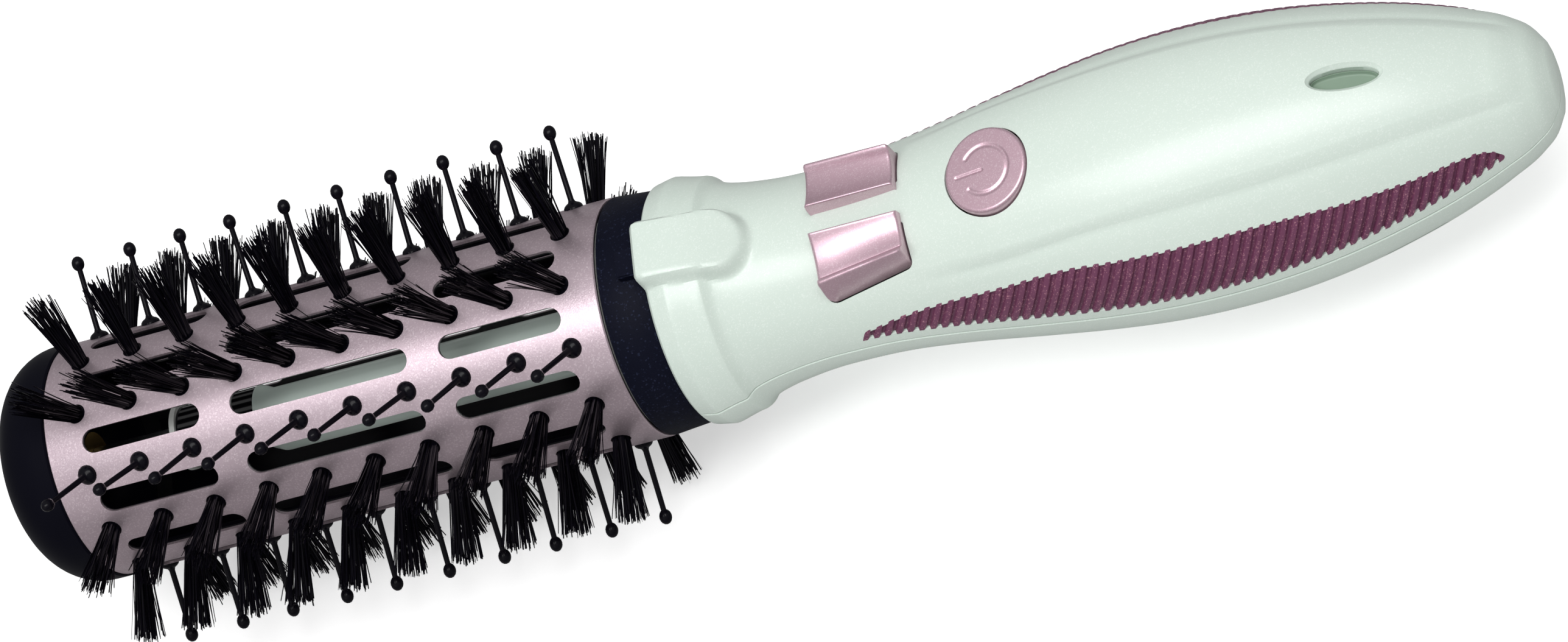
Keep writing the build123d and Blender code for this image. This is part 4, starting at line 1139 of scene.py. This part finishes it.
def markDepth(u, v):
    # how deep the power sign is pressed in: an arc open towards the barrel, and a bar
    m = mark
    turn = degrees(atan2(v, -u))
    if abs(turn) >= m["open"]:
        arc = abs(hypot(u, v) - m["radius"])
    else:
        end = radians(m["open"]) * (1 if turn > 0 else -1)
        arc = hypot(u + m["radius"] * cos(end), v - m["radius"] * sin(end))
    bar = hypot(u - min(max(u, m["barFrom"]), m["barTo"]), v)
    deep = 0.0
    for distance, stroke in ((arc, m["stroke"] * 1.25), (bar, m["stroke"])):
        if distance < stroke * 1.6:
            deep = max(deep, 0.5 + 0.5 * cos(pi * distance / (stroke * 1.6)))
    return m["depth"] * deep


def makePowerButton():
    # a fine polar grid with a crown and a rounded edge
    p = power
    radius, edge, columns = p["radius"], p["edge"], p["columns"]

    def height(r):
        fall = max(0.0, (r - radius + edge) / edge)
        rounding = edge * (1 - sqrt(max(0.0, 1 - fall * fall)))
        return p["proud"] + p["crown"] * (1 - (r / radius) ** 2) - rounding
    rows = []
    for r in [radius * (i / p["rings"]) for i in range(1, p["rings"] + 1)]:
        rows.append([powerPlace(u, v, height(r) - markDepth(u, v)) for u, v in circlePlan(r, columns)])
    for w in (-1.0, -4.5):
        rows.append([powerPlace(u, v, w) for u, v in circlePlan(radius, columns)])
    bm = bmesh.new()
    grid = ringSurface(bm, rows)
    middle = bm.verts.new(powerPlace(0, 0, height(0)))
    for j in range(columns):
        bm.faces.new((middle, grid[0][j], grid[0][(j + 1) % columns]))
    bm.faces.new(grid[-1])
    return pieceFrom("powerCap", bm, 50)


dress(makePowerButton(), "rose_button", "power_key", "power_button")


def makeLens():
    # an oval window with a thin raised rim, sunk deep in the shell
    bm = bmesh.new()
    stackInto(bm, lensRings(lens["window"], lens["rim"] - lens["sink"]))
    return pieceFrom("lensWindow", bm, 45)


dress(makeLens(), "smoke_lens", "handle", "indicator_lens")
print("buttons and window made")


# the grip inserts

def ribHeight(turn):
    # a rounded ridge with a narrow groove beside it, for each whole turn
    t = (turn % 1.0)
    rise = min(1.0, t / 0.2) if t < 0.4 else min(1.0, max(0.0, (0.76 - t) / 0.22))
    return rise * (2 - rise)


def slantReach(s, slope):
    # how high the slanted line from s rises before it meets the grip's upper edge
    low, high = 0.0, 15.0
    for _ in range(28):
        z = (low + high) / 2
        low, high = (z, high) if gripTop(s + z * slope) > z else (low, z)
    return max(low, 0.12)


def makeGrip(name, side):
    g = grip
    low = shell["seam"] + g["low"]
    start, end = handleFront + g["start"], handleFront + g["end"]
    pitch = (end - start) / g["ribs"]
    slope = tan(radians(g["slant"]))
    first = start - 0.2
    rows = []
    for i in range(int((end - first - 0.15) / pitch * g["perRib"]) + 1):
        s = first + i * pitch / g["perRib"]
        reach = slantReach(s, slope)
        skin, under = [], []
        for k in range(g["rowsUp"] + 1):
            z = low + reach * (0.5 - 0.5 * cos(pi * k / g["rowsUp"]))
            x = min(max(s + (z - low) * slope, start + 0.05), end - 0.05)
            ends = min(1.0, min(z - low, low + reach - z) / 0.8)  # the ribs run out at both edges
            ends = sqrt(max(0.0, 1 - (1 - ends) ** 2))
            proud = g["valley"] + (g["crest"] - g["valley"]) * ribHeight(i / g["perRib"]) * ends
            radius = skinRadius(x)
            y = sqrt(max(radius ** 2 - z ** 2, 1.0))
            scale = 1 + proud / radius
            skin.append(at(x, -side * y * scale, z if k in (0, g["rowsUp"]) else z * scale))
            under.append(at(x, -side * y * (1 - g["under"] / radius), z))
        rows.append(skin + under[::-1])
    bm = bmesh.new()
    grid = ringSurface(bm, rows)
    half = g["rowsUp"] + 1
    for row in (grid[0], grid[-1]):
        for j in range(half - 1):
            bm.faces.new((row[j], row[j + 1], row[2 * half - 2 - j], row[2 * half - 1 - j]))
    return pieceFrom(name, bm, 40)


dress(makeGrip("leftGripRibs", 1), "plum_grip", "handle", "left_grip")
dress(makeGrip("rightGripRibs", -1), "plum_grip", "handle", "right_grip")
print("grips made")


# floor, light and camera

studio = {"horizon": 0.2, "zenith": 0.62, "mirrored": 1.25, "backdrop": 0.95, "glow": 0.45,
          "floorTone": 0.9, "floorMirrored": 0.3, "floor": ((-3, 3), (-2.5, 2.0))}
lamps = {  # place, target, size in metres, power
    "softKey": ((0.06, -0.14, 0.93), (0.02, 0, 0.04), (0.9, 0.4), 7.0),
    "sideFill": ((-0.5, -0.9, 0.6), (0, 0, 0.04), (0.8, 0.6), 0.5)}
camera = {"right": (0.92460, -0.10827, -0.36522), "up": (0.24006, 0.91004, 0.33794),
          "place": (364.81, -377.60, 799.27), "focus": 105.5, "sensor": 36}


def grey(level):
    return (level, level, level, 1.0)


def shaderOf(owner, kind):
    owner.use_nodes = True
    return owner.node_tree, next(node for node in owner.node_tree.nodes if node.type == kind)


def seenDirectly(tree):
    # the light paths, and a mask for what the camera sees straight or through glass
    rays = tree.nodes.new("ShaderNodeLightPath").outputs
    return rays, mathNode(tree, "MAXIMUM", rays["Is Camera Ray"], rays["Is Transmission Ray"])


def makeStage():
    alongX, alongY = studio["floor"]
    bm = bmesh.new()
    ringSurface(bm, [[Vector((x, y, 0)) for x in alongX] for y in alongY], closed=False)
    floor = pieceFrom("floorSheet", bm, 0)
    material = bpy.data.materials.new("paleFloor")
    tree, shader = shaderOf(material, "BSDF_PRINCIPLED")
    rays, seen = seenDirectly(tree)
    feed(tree, shader, {
        "Roughness": 0.9, "Specular IOR Level": 0.1, "Emission Color": grey(1.0),
        "Base Color": mixColour(tree, rays["Is Glossy Ray"], grey(studio["floorTone"]),
                                grey(studio["floorMirrored"])),
        "Emission Strength": mathNode(tree, "MULTIPLY", seen, studio["glow"])})
    floor.data.materials.append(material)


def makeLamp(name, place, target, size, power):
    lamp = bpy.data.lights.new(name, "AREA")
    lamp.shape = "RECTANGLE"
    lamp.size, lamp.size_y = size
    lamp.energy = power
    turn = (Vector(target) - Vector(place)).normalized().to_track_quat("-Z", "Y")
    newPiece(name, lamp).matrix_world = Matrix.Translation(place) @ turn.to_matrix().to_4x4()


def makeLight():
    # a soft sky, brighter overhead and brighter still in what is mirrored, behind a white backdrop
    s = studio
    scene.world = bpy.data.worlds.new("studioWorld")
    tree, backdrop = shaderOf(scene.world, "BACKGROUND")
    rays, seen = seenDirectly(tree)
    split = feed(tree, tree.nodes.new("ShaderNodeSeparateXYZ"), {
        0: tree.nodes.new("ShaderNodeTexCoord").outputs["Generated"]})

    def times(a, b):
        return mathNode(tree, "MULTIPLY", a, b)

    def add(a, b):
        return mathNode(tree, "ADD", a, b)
    high = mathNode(tree, "MAXIMUM", split.outputs[2], 0.0)
    ambient = add(times(high, s["zenith"] - s["horizon"]), s["horizon"])
    mirrored = add(times(rays["Is Glossy Ray"], s["mirrored"] - 1.0), 1.0)
    unseen = times(times(ambient, mirrored), mathNode(tree, "SUBTRACT", 1.0, seen))
    feed(tree, backdrop, {"Color": grey(1.0), "Strength": add(unseen, times(seen, s["backdrop"]))})
    for name, setting in lamps.items():
        makeLamp(name, *setting)


def makeCamera():
    # turned by its own right and up directions
    right, up = Vector(camera["right"]), Vector(camera["up"])
    lensOfCamera = bpy.data.cameras.new("studioCamera")
    lensOfCamera.lens = camera["focus"]
    lensOfCamera.sensor_width = camera["sensor"]
    scene.camera = newPiece("studioCamera", lensOfCamera)
    turn = Matrix((right, up, right.cross(up).normalized())).transposed().to_4x4()
    scene.camera.matrix_world = Matrix.Translation(at(*camera["place"])) @ turn


makeStage()
makeLight()
makeCamera()
scene.view_settings.view_transform = "Standard"

print("scene done")
